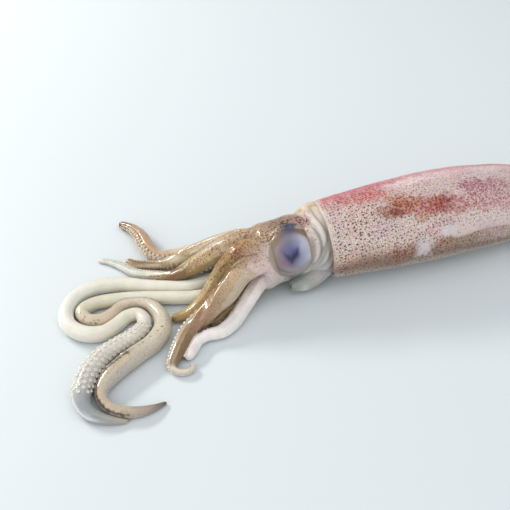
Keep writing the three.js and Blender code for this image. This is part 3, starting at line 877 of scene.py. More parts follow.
tentacle_flesh = {
    name: limb(name + "_flesh", tentacle["stops"], round_section, LIMB_PITCH, TENTACLE_TURNS)
    for name, tentacle in TENTACLES.items()}
print("tentacle faces:", [len(piece.data.polygons) for piece in tentacle_flesh.values()])

# %% [markdown]
# ## Suckers
#
# Every arm has two rows of suckers along its inner face, and the club of a tentacle four or more.
# A sucker is a small stiff cup on a short stalk. One cup is made from a ten-sided cone with its
# top face inset and pushed down, and it is copied along the rows, turned outwards.

# %% Sucker cup
SUCKER_SIDES = 10


def sucker_cup():
    """One cup of radius 1 that stands on the origin and opens upwards."""
    cup = bmesh.new()
    bmesh.ops.create_cone(
        cup, cap_ends=True, segments=SUCKER_SIDES, radius1=0.8, radius2=1.0, depth=1.2)
    top = [face for face in cup.faces if face.normal.z > 0.9]
    bmesh.ops.inset_region(cup, faces=top, thickness=0.3, depth=0.12)
    bmesh.ops.inset_region(cup, faces=top, thickness=0.2, depth=-0.25)
    return cup


cup = sucker_cup()
cup_mesh = bpy.data.meshes.new("cup")
cup.to_mesh(cup_mesh)
cup.free()
print("faces of a cup:", len(cup_mesh.polygons))

# %% Sucker rows
SMALLEST_CUP = 0.3
CUP_TILT = 0.15
# A cup stands at this share of the limb's radius, so that its foot is in the flesh.
CUP_FOOT = 0.97
# The spacing is given for a limb of this radius, and a thinner one carries them closer.
SPACED_FOR = 4


def add_cup(work, at, way, radius):
    """Adds one cup that opens along way, give or take a random tilt."""
    start = len(work.verts)
    tilt = way.lerp(Vector((random.uniform(-1, 1), random.uniform(-1, 1), 1)), CUP_TILT)
    turn = tilt.to_track_quat("Z", "Y").to_matrix().to_4x4()
    work.from_mesh(cup_mesh)
    work.verts.ensure_lookup_table()
    new = work.verts[start:]
    bmesh.ops.scale(work, vec=Vector((radius, radius, radius)) * MM, verts=new)
    bmesh.ops.transform(work, matrix=turn, verts=new)
    bmesh.ops.translate(work, vec=at * MM, verts=new)


def sucker_rows(name, stops, keel, rows, low, high, pitch, size):
    """Cups in rows along one limb, from share low to high of its length. rows are degrees from
    the keel's angle, and size is a cup's radius as a share of the limb's."""
    work = bmesh.new()
    samples = samples_along(stops, 0.5)
    last = len(samples) - 1
    length = samples[-1].run
    run = low * length
    count = 0
    while run < high * length:
        sample = samples[min(round(run / length * last), last)]
        radius = max(size * sample.radius, SMALLEST_CUP)
        for k, row in enumerate(rows):
            if (count + k) % 2:
                continue
            angle = keel_at(keel, sample.share) + math.radians(row)
            way = sample.up * math.cos(angle) + sample.side * math.sin(angle)
            out = sample.radius * CUP_FOOT - radius * random.uniform(-0.15, 0.15)
            at = sample.at + way * out
            if at.z < 0.8 * radius:
                continue
            add_cup(work, at, way, radius)
        count += 1
        run += pitch * max(sample.radius / SPACED_FOR, 0.5)
    return finished(work, name)


print("the smallest cup has a radius of", SMALLEST_CUP, "mm")

# %% Suckers
UPRIGHT = [(0, 0), (1, 0)]
# rows in degrees, share from and to, spacing in mm, and a cup's share of the limb's radius.
CLUB_SUCKERS = {
    "tentacle_right": ([-74, -46, -18, 10, 38, 66, 90], 0.69, 0.895, 1.4, 0.19),
    "tentacle_left": ([84, 104, 124, 144], 0.72, 0.85, 1.25, 0.2),
}
SUCKER_ROWS = {"arm_right_2": [165, 195], "arm_left_3": [130, 165], "arm_left_4": [36, 46]}
USUAL_ROWS = [150, 210]
# the same for every arm, after its rows.
ALONG_ARM = (0.3, 0.97, 1.2, 0.22)

random.seed(11)
suckers = {}
for name, layout in CLUB_SUCKERS.items():
    stops = TENTACLES[name]["stops"]
    suckers[name] = sucker_rows(name + "_suckers", stops, UPRIGHT, *layout)
for name, arm in ARMS.items():
    rows = SUCKER_ROWS.get(name, USUAL_ROWS)
    suckers[name] = sucker_rows(name + "_suckers", arm["stops"], arm["keel"], rows, *ALONG_ARM)
bpy.data.meshes.remove(cup_mesh)
print("sucker faces:", sum(len(piece.data.polygons) for piece in suckers.values()))

# %% [markdown]
# ## Eyes and funnel
#
# An eye is a flat dome of clear skin over a silvery iris. The funnel is a short open tube with a
# soft rim that comes out of the mantle under the head.

# %% Eyes
EYE_RADIUS = 12.6
EYE_DEPTH = 7.4
EYE_OUT = 11.9
EYE_RINGS = 60
EYE_TURNS = 120
# How far the dome goes on, where 1 is its equator and 2 would be the far pole.
EYE_REACH = 1.9


def eye_point(hand, turn, share):
    """A point on an eye's dome: turn goes round it and share from its pole to its equator."""
    out = math.cos(share * math.pi / 2) * EYE_DEPTH + EYE_OUT
    reach = math.sin(share * math.pi / 2) * EYE_RADIUS
    flat = Vector((1, 0, 0)) * (reach * math.cos(turn)) + BACK * (reach * math.sin(turn))
    return EYE_AT + flat + LEFT * (out * hand)


def eye(name, hand):
    def place(ring, angle):
        return eye_point(hand, angle * hand, ring / EYE_RINGS * EYE_REACH)

    def skin(ring, angle):
        share = ring / EYE_RINGS * EYE_REACH
        return (math.cos(angle) * share, math.sin(angle) * share)

    return loft(name, EYE_RINGS, EYE_TURNS, place, skin)


eyes = {hand: eye("eye_ball_" + name, hand) for hand, name in ((1, "left"), (-1, "right"))}
print("eye faces:", len(eyes[1].data.polygons))

# %% Funnel
FUNNEL = [
    (-70, -6.2, 13.2, 4.8), (-77, -6.8, 12.4, 5.6), (-84, -8.4, 10.4, 6.2), (-90, -10.6, 8.2, 6.0),
    (-95, -12.0, 6.9, 5.3), (-99, -12.6, 6.3, 4.1), (-102, -12.4, 6.4, 2.9)]
FUNNEL_WALL = 1.2
FUNNEL_LIP = 0.6
FUNNEL_HOLLOW = 7
FUNNEL_PITCH = 0.5
FUNNEL_TURNS = 72

# Each ring is (index of its sample, depth under the outer skin), or a depth of None at the floor.
funnel_samples = samples_along(FUNNEL, FUNNEL_PITCH)
mouth = len(funnel_samples) - 1
floor = mouth - int(FUNNEL_HOLLOW / FUNNEL_PITCH)
funnel_rings = [(0, 0.0)] + [(i, 0.0) for i in range(mouth + 1)]
funnel_rings += [(mouth, FUNNEL_WALL * share) for share in (0.25, 0.5, 0.75)]
funnel_rings += [(i, FUNNEL_WALL) for i in range(mouth, floor, -1)]
funnel_rings.append((floor, None))


def funnel_place(ring, angle):
    index, depth = funnel_rings[ring]
    sample = funnel_samples[index]
    if ring == 0 or depth is None:
        return sample.at
    up, side = math.cos(angle), math.sin(angle)
    radius = sample.radius - depth
    swell = math.sin(math.pi * min(max(depth / FUNNEL_WALL, 0), 1))
    point = sample.at + sample.up * (radius * up) + sample.side * (radius * side)
    point += sample.ahead * (FUNNEL_LIP * swell)
    point += Vector((0, 0, 0.25)) * wobble((ring * 0.2, up * 2, side * 2), 1.0, 6.0)
    point.z = max(point.z, 0)
    return point


funnel_flesh = loft("funnel_flesh", len(funnel_rings) - 1, FUNNEL_TURNS, funnel_place, plain_skin)
print("funnel faces:", len(funnel_flesh.data.polygons))

# %% [markdown]
# ## Painting the skin
#
# A squid's skin is a clear film over milky flesh. Its colour is not even: it depends on how far
# each sac of pigment is open. We paint two colours on every vertex. One is the tint of the flesh,
# and its alpha is the strength of the dark dots. The other is the pigment of the open sacs, and
# its alpha is how much they show. The dots themselves come from the material, so they stay sharp
# however far apart the vertices are.
# Some of the painted colour stands for light: painted shade low on the mantle's near flank, in the
# hollow and creases round the neck, under the eye and along the eye's rim towards the arms, and
# painted highlight in a few pale streaks on two arms and on one tentacle's club.

# %% Paint helpers


def paint(piece, rule):
    """Paints each vertex. rule takes a point in mm and returns the flesh tint, the strength of
    the dark dots, the pigment colour and the pigment's strength."""
    mesh = piece.data
    tints, pigments = [], []
    for vertex in mesh.vertices:
        colour, dots, pigment, strength = rule(vertex.co / MM)
        tints += [*colour[:3], dots]
        pigments += [*pigment[:3], strength]
    for name, values in (("tint", tints), ("pigment", pigments)):
        layer = mesh.attributes.new(name, "FLOAT_COLOR", "POINT")
        layer.data.foreach_set("color", values)


def tone(rows, at):
    """A linear colour read from rows of (place, linear colour)."""
    return [eased([(place, colour[k]) for place, colour in rows], at) for k in range(3)]


def tones(*rows):
    """Rows of (place, hex colour) as rows of (place, linear colour)."""
    return [(place, linear(colour)) for place, colour in rows]


def patched(look, near, hue, share, dot, grain, grain_share):
    """The four painted values with a patch over them. near is 1 in its middle, and the rest is
    its flesh tint and the tint's strength, its dots, and its pigment and the pigment's strength."""
    colour, dots, pigment, strength = look
    colour = mixed(colour, linear(hue), near * share)
    dots += (dot - dots) * near * share
    pigment = mixed(pigment, linear(grain), near)
    strength += (grain_share - strength) * near
    return colour, dots, pigment, strength


print("a tone half way:", [round(c, 2) for c in tone(tones((0, "#000000"), (1, "#ffffff")), 0.5)])

# %% Mantle tones
MANTLE_PIGMENT = linear("#a87c76")
# Tones round the body in degrees. From about 120 to 160 degrees, low on the near flank where it
# turns down to the table, they are darker and browner: a brownish tone with painted shade over it.
MANTLE_BASE = tones(
    (-180, "#d6cfc7"), (-100, "#d4c8c2"), (-40, "#cba4a0"), (0, "#c67378"), (12, "#ca8285"),
    (24, "#c9a09b"), (40, "#c6afa9"), (60, "#c5b2ab"), (80, "#cbbab2"), (100, "#d4c2b8"),
    (118, "#c6b0a0"), (130, "#9c816e"), (142, "#84705f"), (160, "#bdb0a4"), (180, "#d6cfc7"))

# x, degrees, half width in mm, half width in degrees, flesh tint and its strength, dots,
# pigment colour and its strength.
MANTLE_PATCHES = [
    (-60, 12, 32, 17, "#c9848a", 0.85, 0.5, "#a5384a", 0.8),
    (-59, 37, 17, 15, "#c48f8a", 0.85, 0.7, "#aa3c40", 0.9),
    (-20, 4, 25, 14, "#cda2a5", 0.8, 0.5, "#b06a74", 0.65),
    (-36, 31, 12, 9, "#dccfcc", 0.7, 0.55, "#b08c86", 0.2),
    (-20, 27, 22, 10, "#dac3c3", 0.75, 0.4, "#b4848c", 0.35),
    (8, 46, 15, 9, "#cdbabb", 0.7, 0.5, "#a88086", 0.4),
    (-44, 57, 7, 10, "#bc8c7a", 0.85, 0.8, "#96462c", 0.95),
    (-41, 66, 8, 11, "#ae7a64", 0.95, 0.8, "#8c3a20", 1.0),
    (-48.5, 70, 5.5, 8, "#905442", 1.0, 0.8, "#6e2a18", 1.0),
    (-54, 67, 5, 7, "#ae8c7c", 0.7, 0.9, "#844028", 0.85),
    (-20.5, 75, 9, 12, "#8e3a34", 1.0, 0.8, "#68100c", 1.0),
    (-26, 70, 8, 10, "#b06a5c", 0.9, 0.8, "#862419", 1.0),
    (-32, 78, 8, 8, "#ba8478", 0.85, 0.8, "#94362a", 0.95),
    (-34, 86, 5.5, 5, "#c8a490", 0.5, 0.8, "#a05a3a", 0.8),
    (-12, 82, 9, 9, "#c09890", 0.7, 0.9, "#94403a", 0.9),
    (-2, 78, 15, 14, "#caa8a5", 0.75, 0.9, "#9c4e48", 0.75),
    (3, 60, 15, 13, "#bc9897", 0.85, 0.9, "#8e4a4c", 0.8),
    (16, 84, 14, 14, "#c4a4a4", 0.7, 0.7, "#a05a60", 0.7),
    (14, 28, 13, 9, "#d0c6c2", 0.8, 0.35, "#b89a9a", 0.3),
    (-22, 94, 9, 7, "#cfb0aa", 0.5, 0.8, "#a8625a", 0.7),
    (-28, 102, 7, 8, "#d2b4b0", 0.5, 0.6, "#b07078", 0.6),
    (-68, 66, 10, 24, "#d2bfb2", 0.4, 1.0, "#a87260", 0.4),
    (-35, 128, 5.5, 14, "#cfc6c6", 0.95, 0.05, "#b09a90", 0.0),
    (-21.5, 110, 4.5, 8, "#d2c8c8", 0.9, 0.1, "#b09a90", 0.0),
    (-46, 128, 8, 11, "#a57e6a", 0.75, 1.0, "#6a3628", 0.85),
    (-22.5, 127, 6, 9, "#ae8870", 0.75, 1.0, "#7e3e2c", 0.9),
    # The next patch, olive and low on the flank, is an olive tone with painted shade over it.
    (-10, 130, 18, 10, "#a5917c", 0.7, 0.8, "#786044", 0.4),
    (11, 128, 14, 13, "#c2ada5", 0.9, 0.6, "#8e6860", 0.5),
]
print("patches on the mantle:", len(MANTLE_PATCHES))

# %% Mantle paint
RIM_TINT = linear("#ccbcac")
INNER_WALL_TINT = linear("#b0ad9e")
INNER_WALL_DEPTH = 1.8
PATCH_REACH = 2.2


def mantle_angle(point):
    """The angle round the body of a point in mm, in degrees."""
    way = point - mantle_middle(point.x)
    way.z /= SQUASH
    return math.degrees(math.atan2(way.dot(LEFT), way.dot(BACK)))


def behind_rim(point, degrees):
    """How far a point lies behind the mantle's rim, in mm."""
    return point.x - rim_shift(math.radians(degrees)) - RIM_X


def mantle_rule(point):
    """The base tones, then the patches, then a paler band with few dots along the rim."""
    degrees = mantle_angle(point)
    colour = tone(MANTLE_BASE, degrees + 6 * wobble(point, 12, 8.0))
    dots = 1 - 0.45 * rise(-55, -15, point.x) * (1 - rise(85, 105, degrees))
    look = colour, dots, MANTLE_PIGMENT, 0.3
    ragged = 0.4 * wobble(point, 5, 1.5) + 0.55 * wobble(point, 2.0, 4.5)
    for x, middle, wide, high, *patch in MANTLE_PATCHES:
        away = math.hypot((point.x - x) / wide, (degrees - middle) / high)
        if away <= PATCH_REACH:
            look = patched(look, 1 - rise(0.4, 1.4, away + ragged), *patch)
    colour, dots, pigment, strength = look
    depth = mantle_radius(point.x) - (point - mantle_middle(point.x)).length
    if point.x < RIM_X + POCKET and depth > INNER_WALL_DEPTH:
        return INNER_WALL_TINT, 0.0, pigment, 0.0
    front = 1 - rise(0.5, 4.0, behind_rim(point, degrees) + 1.8 * wobble(point, 2.5, 9.0))
    front *= 1 - 0.6 * rise(80, 100, degrees)
    colour = mixed(colour, RIM_TINT, 0.7 * front)
    return colour, dots * (1 - 0.6 * front), pigment, strength * (1 - 0.6 * front)


paint(mantle_flesh, mantle_rule)
print("painted", len(mantle_flesh.data.vertices), "vertices of the mantle")

# %% Fin paint
FIN_MARGIN = linear("#cfbebb")
HANGING_ROOT = linear("#d6b4b0")
HANGING_EDGE = linear("#dccac6")


def across_fin(point):
    """How far a point lies from a fin's root to its edge, from 0 to 1. Where y is below 0 it is
    on the left fin."""
    share = min(max((point.x - FIN_START) / (FIN_END - FIN_START), 0), 1)
    width = max(eased(FIN_WIDTH, max(share, 0.08)) * FIN_REACH, 1)
    root = fin_root(share)
    if point.y < 0:
        turn = math.radians(mantle_angle(point)) - root
        across = turn * (mantle_radius(point.x) + FIN_ARC_ABOVE) / width
    else:
        across = (point - mantle_point(point.x, -root, 0)).length / width
    return min(max(across, 0), 1)


def fin_rule(point):
    """The mantle's colours go on over the left fin. Both fins pale towards their edges."""
    across = across_fin(point)
    colour, dots, pigment, strength = mantle_rule(point)
    if point.y > 0:
        colour = mixed(HANGING_ROOT, HANGING_EDGE, across)
        dots, strength = 0.7, 0.6
    edge = rise(0.5, 0.92, across + 0.14 * wobble(point, 7, 2.0))
    colour = mixed(colour, FIN_MARGIN, 0.7 * edge)
    return colour, dots * (1 - 0.55 * edge), pigment, strength * (1 - 0.6 * edge)


for piece in fin_flesh.values():
    paint(piece, fin_rule)
print("painted the fins")

# %% [markdown]
# ## Painting the head and the arms
#
# An arm's outer face is olive brown and dotted, with a clear edge. Its sides are bare, glassy
# and grey white, and towards its tip they carry the suckers. One table gives the colours of each
# arm's face from root to tip, and another those of its sides. Paler and darker bands run along
# some of the arms, and patches lie on the head and the neck.

# %% Arm tones
ARM_FACES = {
    "arm_left_1": tones((0, "#a8927c"), (0.2, "#b59c7a"), (0.38, "#b0966a"), (0.5, "#75592e"),
                        (0.6, "#98865e"), (0.72, "#cfcabb"), (1, "#cfccc2")),
    "arm_left_2": tones((0, "#a8927c"), (0.18, "#ab8a64"), (0.3, "#a38045"), (0.42, "#948051"),
                        (0.7, "#b39b6c"), (1, "#957840")),
    "arm_left_3": tones((0, "#b8a28e"), (0.2, "#b39a7c"), (0.36, "#a08767"), (0.5, "#9c7b5e"),
                        (0.66, "#7f6646"), (0.8, "#796442"), (0.88, "#c0b29c"), (1, "#bcae98")),
    "arm_left_4": tones((0, "#c9b8b0"), (0.25, "#dcd2cb"), (0.6, "#ded6d2"), (1, "#d8cdc6")),
    "arm_right_1": tones((0, "#b2987c"), (0.3, "#bba47c"), (0.6, "#ac966f"), (0.8, "#92784e"),
                         (1, "#8b6d48")),
    "arm_right_2": tones((0, "#b39a7c"), (0.4, "#c8b79c"), (0.6, "#bb9a7a"), (0.85, "#a98a6c"),
                         (1, "#6d5542")),
    "arm_right_3": tones((0, "#b9a888"), (1, "#c8b99c")),
    "arm_right_4": tones((0, "#a8925c"), (0.6, "#9a8040"), (0.8, "#7d6240"), (1, "#4a3426")),
}
ARM_SIDES = {
    "arm_left_1": tones((0, "#b8a67c"), (0.35, "#a48c5c"), (0.5, "#97804f"), (0.62, "#c9c2ae"),
                        (0.75, "#d0ccc2"), (1, "#cbc8bc")),
    "arm_left_2": tones((0, "#bdb596"), (0.6, "#ab9a6c"), (1, "#927640")),
    "arm_left_3": tones((0, "#c9b9a8"), (0.3, "#b9ab92"), (0.5, "#b39c80"), (0.62, "#c6bba6"),
                        (0.75, "#cfc7b8"), (1, "#c8bca8")),
    "arm_left_4": tones((0, "#dcd6cc"), (1, "#e0dad6")),
    "arm_right_1": tones((0, "#cfc3a6"), (0.6, "#bbac8c"), (0.76, "#9a8163"), (1, "#84684c")),
    "arm_right_2": tones((0, "#dcd8cc"), (0.45, "#d0c4ae"), (0.58, "#b89c80"), (0.85, "#ab8c70"),
                         (0.93, "#93755c"), (1, "#5e4838")),
    "arm_right_3": tones((0, "#d0c6ae"), (1, "#d0c6ae")),
    "arm_right_4": tones((0, "#a99668"), (0.7, "#a08a5a"), (1, "#4a3426")),
}
ARM_DOTS = {"arm_left_4": 0.1, "arm_left_3": 0.55, "arm_right_1": 0.7}
# share from and to, degrees at both ends, half width in degrees, colour and strength.
ARM_BANDS = {
    "arm_right_2": [(0.5, 0.9, -72, -60, 22, "#d6d2c4", 0.85),
                    (0.42, 0.95, -40, -28, 7, "#5f4028", 0.7)],
    # The first band of arm_right_1 and both bands of arm_left_1 are pale streaks along the keels:
    # pale keel skin with a painted highlight of the wet film on it.
    "arm_right_1": [(0.28, 0.52, -20, -46, 7, "#e0d3c3", 0.6),
                    (0.72, 0.97, -62, -62, 20, "#b9b5a2", 0.6)],
    "arm_left_1": [(0.12, 0.5, 28, 10, 10, "#d3c6a4", 0.5),
                   (0.2, 0.5, -12, -30, 7, "#e2d5be", 0.7)],
    "arm_left_3": [(0.12, 0.5, -58, -100, 16, "#b3a588", 0.5),
                   (0.46, 0.84, 0, 0, 30, "#866b48", 0.95)],
}
print("arms with bands:", sorted(ARM_BANDS))

# %% Head tones
HEAD_PIGMENT = linear("#8a583e")
ARM_PIGMENT = linear("#8c5630")
# x, y, z, half width in mm, colour, strength, dots, pigment and its strength of single patches.
HEAD_PATCHES = [
    (-129, -7.5, 30.8, 5.2, "#a0704c", 0.55, 1.0, "#6a2414", 1.0),
    (-134, -7, 27, 5, "#9c7640", 0.5, 0.8, "#5e3418", 0.9),
    (-103, 2.8, 35.5, 7, "#8a7263", 0.6, 1.0, "#2a2022", 1.0),
    (-93, 1.6, 36, 5, "#a07c78", 0.6, 1.0, "#4e2430", 1.0),
    (-112, -3.8, 35, 6, "#b09478", 0.5, 1.0, "#543420", 0.8),
    (-90, 4, 38, 3, "#cdb4a8", 0.6, 0.6, "#8a4a50", 0.7),
    (-101.2, -3.2, 37.6, 3.9, "#3f435a", 0.9, 0.4, "#22243a", 0.8),
    (-96, -7, 36, 3.4, "#a2978f", 0.6, 0.2, "#6a6678", 0.2),
    (-117, -13, 26, 9, "#cdb4ae", 0.6, 0.6, "#8a5f4c", 0.3),
    (-118, -14, 18, 9, "#cbb8b4", 0.7, 0.25, "#9a7a70", 0.1),
    (-120, 3, 33, 8, "#b99c78", 0.5, 0.9, "#684428", 0.7),
    (-116, 6, 34, 7, "#b89e84", 0.4, 0.9, "#684630", 0.7),
    # The last patch is a painted shadow under the eye, where the head meets the funnel.
    (-101, -13.5, 12, 4.8, "#747871", 1.0, 0.1, "#5e625c", 0.1),
]
HEAD_BASE = tones(
    (-180, "#cfc8be"), (-90, "#c9bba8"), (-30, "#b8a28c"), (0, "#a8917c"), (30, "#a6907c"),
    (60, "#b09a86"), (90, "#c4b0a4"), (125, "#cdbcb4"), (150, "#bdb6aa"), (180, "#cfc8be"))
# degrees from the back's midline and x of the crease behind the flap of skin behind the eye, along
# which a line of painted shade is laid.
FLAP_EDGE = [
    (55, -90.4), (67, -89.0), (82, -87.7), (97, -87.4), (112, -88.4), (127, -90.6), (140, -93)]
print("patches on the head:", len(HEAD_PATCHES))

# %% Finding the arm
PAINT_PITCH = 1.0


def line_tree(samples):
    """A search tree over the samples of one limb."""
    tree = KDTree(len(samples))
    for i, sample in enumerate(samples):
        tree.insert(sample.at, i)
    tree.balance()
    return tree


arm_samples = {name: samples_along(arm["stops"], PAINT_PITCH) for name, arm in ARMS.items()}
arm_trees = {name: line_tree(samples) for name, samples in arm_samples.items()}


def nearest_arm(point):
    """The arm whose flesh a point belongs to, and its sample there. The nearest is the one with
    the least distance for its radius, so that a thick arm doesn't lose its skin to a thin one."""
    best = None
    for name, tree in arm_trees.items():
        _, index, distance = tree.find(point)
        sample = arm_samples[name][index]
        ratio = distance / max(sample.radius, 0.8)
        if best is None or ratio < best[0]:
            best = (ratio, name, sample)
    return best[1:]


def angle_round(sample, point):
    """The angle of a point round a limb's sample, from straight up."""
    way = point - sample.at
    return math.atan2(way.dot(sample.side), way.dot(sample.up))


print("on top of the crown lies", nearest_arm(CROWN + BACK * CROWN_RADIUS)[0])

# %% Bands and neck


def between(start, end, low, high, at):
    """A value that runs from start to end while at runs from low to high."""
    return start + (end - start) * min(max((at - low) / (high - low), 0), 1)


def banded(colour, bands, share, degrees):
    """A colour with the bands of one limb laid over it."""
    for low, high, start, end, half, hue, strength in bands:
        middle = between(start, end, low, high, share)
        near = rise(low - 0.015, low + 0.015, share) * (1 - rise(high - 0.015, high + 0.015, share))
        near *= bump(0, half, math.remainder(degrees - middle, 360))
        colour = mixed(colour, linear(hue), near * strength)
    return colour


def height_above_head(point):
    """How far a point lies above the plain head, in mm, and below 0 inside it."""
    y, z, high, wide = head_row(point.x)
    way = point - Vector((point.x, y, z))
    reach = math.hypot(way.dot(BACK) / high, way.dot(LEFT) / wide)
    return (reach - 1) * (high + wide) / 2


def neck_colour(point, degrees):
    """The colours of the collar, then painted shade: in the hollow behind the collar over the
    flesh's greyer tone there, in the crease at the mantle's rim and along the crease behind the
    flap.
    """
    above = height_above_head(point)
    side = abs(degrees)
    colour = mixed(linear("#c8b69e"), linear("#cec5bb"), rise(10, 50, side))
    # painted shade in the hollow behind the collar, where the flesh is also greyer and see-through
    hollow_shade = (1 - rise(0.3, 1.5, above)) * rise(15, 60, side)
    deep = mixed(linear("#b5a89a"), linear("#a09c95"), rise(60, 95, side))
    colour = mixed(colour, deep, 0.8 * hollow_shade)
    colour = mixed(colour, linear("#b4b1ab"), 0.8 * rise(100, 125, side))
    # painted shade in the crease at the mantle's rim and along the crease behind the flap
    crease_shade = rise(-3.4, -0.2, behind_rim(point, degrees)) * rise(40, 80, side)
    crease_shade = max(crease_shade, bump(0, 1.0, point.x - eased(FLAP_EDGE, side)) * rise(52, 66, side))
    return mixed(colour, linear("#7d7466"), 0.75 * crease_shade)


print("the crown lies", round(-height_above_head(CROWN)), "mm deep in the head")

# %% Arm look


def arm_look(point):
    """An arm's flesh tint and dots at a point, and how far round to its bare side that lies."""
    name, sample = nearest_arm(point)
    share = sample.share
    angle = angle_round(sample, point)
    turn = abs(turned(angle, keel_at(ARMS[name]["keel"], share)))
    side = rise(0.95, 1.25, turn + 0.15 * wobble(point, 4, 6.0)) * rise(0.08, 0.3, share)
    face = tone(ARM_FACES[name], share + 0.06 * wobble(point, 7, 3.0))
    colour = mixed(face, tone(ARM_SIDES[name], share), 0.9 * side)
    colour = banded(colour, ARM_BANDS.get(name, []), share, math.degrees(angle))
    colour = [c * (1 + 0.12 * wobble(point, 3.0, 5.0)) for c in colour]
    dots = (1 - side) * (0.3 + 0.52 * (1 - rise(0.5, 0.9, share)))
    return colour, dots * ARM_DOTS.get(name, 1.0), side


print("dots where the first arm starts:", round(arm_look(CROWN + BACK * CROWN_RADIUS)[1], 2))

# %% Head and arm paint
ARM_START = -112
ARM_WHOLLY = -122
EYE_UNIT = 11.8
SOCKET_TINT = linear("#867a6e")
FLAP_TINT = linear("#c9bfb9")


def head_look(point):
    """The head's flesh tint and dots at a point, and how far that is on the cream neck."""
    y, z, _, _ = head_row(point.x)
    way = point - Vector((point.x, y, z))
    degrees = math.degrees(math.atan2(way.dot(LEFT), way.dot(BACK)))
    dots = 0.6 - 0.42 * rise(80, 115, abs(degrees))
    cream = rise(-93.5, -91, point.x - 1.5 * bump(90, 30, degrees))
    colour = mixed(tone(HEAD_BASE, degrees), neck_colour(point, degrees), cream)
    flap = bump(0, 1, math.hypot((point.x + 90.6) / 1.6, (degrees - 92) / 28))
    colour = mixed(colour, FLAP_TINT, 0.9 * flap)
    return colour, dots * (1 - 0.95 * cream * (1 - flap)), cream


def round_eye(point):
    """1 on the head's skin close round the eye and under its brow, and 0 away from it."""
    up = (point - EYE_AT).dot(BACK)
    off = math.hypot(point.x - EYE_AT.x + 0.9, up + 1.2) / EYE_UNIT
    return (1 - rise(0.98, 1.08, off)) * (1 - rise(0.3, 0.5, up / 12))


def head_rule(point):
    """The head's look runs over into the arms', then come the patches and the eye's surround."""
    head_colour, head_dots, cream = head_look(point)
    arm_colour, arm_dots, side = arm_look(point)
    on_arm = 1 - rise(ARM_WHOLLY, ARM_START, point.x)
    dots = head_dots + (arm_dots - head_dots) * on_arm
    look = (
        mixed(head_colour, arm_colour, on_arm), dots, mixed(HEAD_PIGMENT, ARM_PIGMENT, on_arm),
        (0.3 + 0.3 * on_arm) * min(dots, 1))
    ragged = 0.5 * wobble(point, 3, 7.0)
    for x, y, z, wide, *patch in HEAD_PATCHES:
        away = (point - Vector((x, y, z))).length / wide
        near = (1 - rise(0.5, 1.35, away + ragged)) * (1 - 0.9 * side * on_arm)
        look = patched(look, near, *patch)
    colour, dots, pigment, strength = look
    near_eye = round_eye(point) * (1 - cream)
    colour = mixed(colour, SOCKET_TINT, 0.8 * near_eye)
    return colour, dots * (1 - 0.8 * near_eye), pigment, strength * (1 - 0.8 * near_eye)


paint(head_skin, head_rule)
print("painted the head and arms")

# %% Tentacle tones
TENTACLE_TONES = {
    "tentacle_right": tones(
        (0, "#cdc6b3"), (0.2, "#d9d4c6"), (0.34, "#d6d2c2"), (0.45, "#d9d7cd"), (0.6, "#d3cdbc"),
        (0.7, "#d0c9ba"), (0.82, "#c9c3b7"), (0.875, "#b4b1a9"), (0.905, "#939596"),
        (0.95, "#8b8d8a"), (1, "#a39b88")),
    "tentacle_left": tones(
        (0, "#c6bea8"), (0.2, "#d6d2be"), (0.4, "#c8c1ab"), (0.5, "#bcac94"), (0.6, "#b8ac98"),
        (0.7, "#bbb09c"), (0.85, "#b1a899"), (0.95, "#a39583"), (1, "#5d4e46")),
}

# share from and to, degrees at both ends, half width in degrees, colour and strength.
TENTACLE_BANDS = {
    # tentacle_right's band is a painted highlight: a white streak along the edge of the club's grey
    # end.
    "tentacle_right": [(0.88, 0.95, 78, 70, 18, "#e4e6e6", 0.7)],
    "tentacle_left": [
        (0.42, 0.50, 95, 70, 40, "#d2b8a2", 0.6),
        (0.52, 0.72, 20, -20, 30, "#d2c6ae", 0.6),
        (0.755, 0.93, -20, 24, 26, "#bfa67c", 0.5),
        (0.755, 0.93, -62, -25, 22, "#b8ada4", 0.7),
        (0.755, 0.93, 10, 66, 8, "#6e5434", 0.8)],
}
# share from and to, degrees at both ends, spacing in mm, size in mm of rows of dark spots.
SPOT_ROWS = {
    "tentacle_right": [(0.87, 0.90, -60, -50, 2.4, 0.7)],
    "tentacle_left": [
        (0.762, 0.93, 12, 68, 1.3, 0.95), (0.762, 0.93, 18, 74, 2.2, 0.7),
        (0.68, 0.755, -2, 12, 2.6, 0.4), (0.425, 0.47, 40, 62, 2.2, 0.5),
        (0.43, 0.475, 20, 40, 2.8, 0.4), (0.665, 0.70, -10, -30, 3.5, 0.5)],
}
print("rows of dark spots:", {name: len(rows) for name, rows in SPOT_ROWS.items()})

# %% Tentacle paint
SPOT_COLOUR = linear("#3c2616")
SPOT_SEED = 7
FRECKLE_COLOUR = linear("#8a6c54")
FRECKLES = {"tentacle_left": 0.3, "tentacle_right": 0.0}


def spot_tree(samples, rows):
    """A search tree over spots on a tentacle's skin, and their places and sizes."""
    random.seed(SPOT_SEED)
    spots = []
    for low, high, start, end, spacing, size in rows:
        count = int((high - low) * samples[-1].run / spacing)
        for i in range(count):
            share = low + (high - low) * (i + random.uniform(0.2, 0.8)) / count
            sample = samples[round(share * (len(samples) - 1))]
            angle = math.radians(between(start, end, low, high, share) + random.uniform(-6, 6))
            way = sample.up * math.cos(angle) + sample.side * math.sin(angle)
            spots.append((sample.at + way * sample.radius, size * random.uniform(0.7, 1.25)))
    tree = KDTree(len(spots))
    for i, (at, _) in enumerate(spots):
        tree.insert(at, i)
    tree.balance()
    return tree, spots


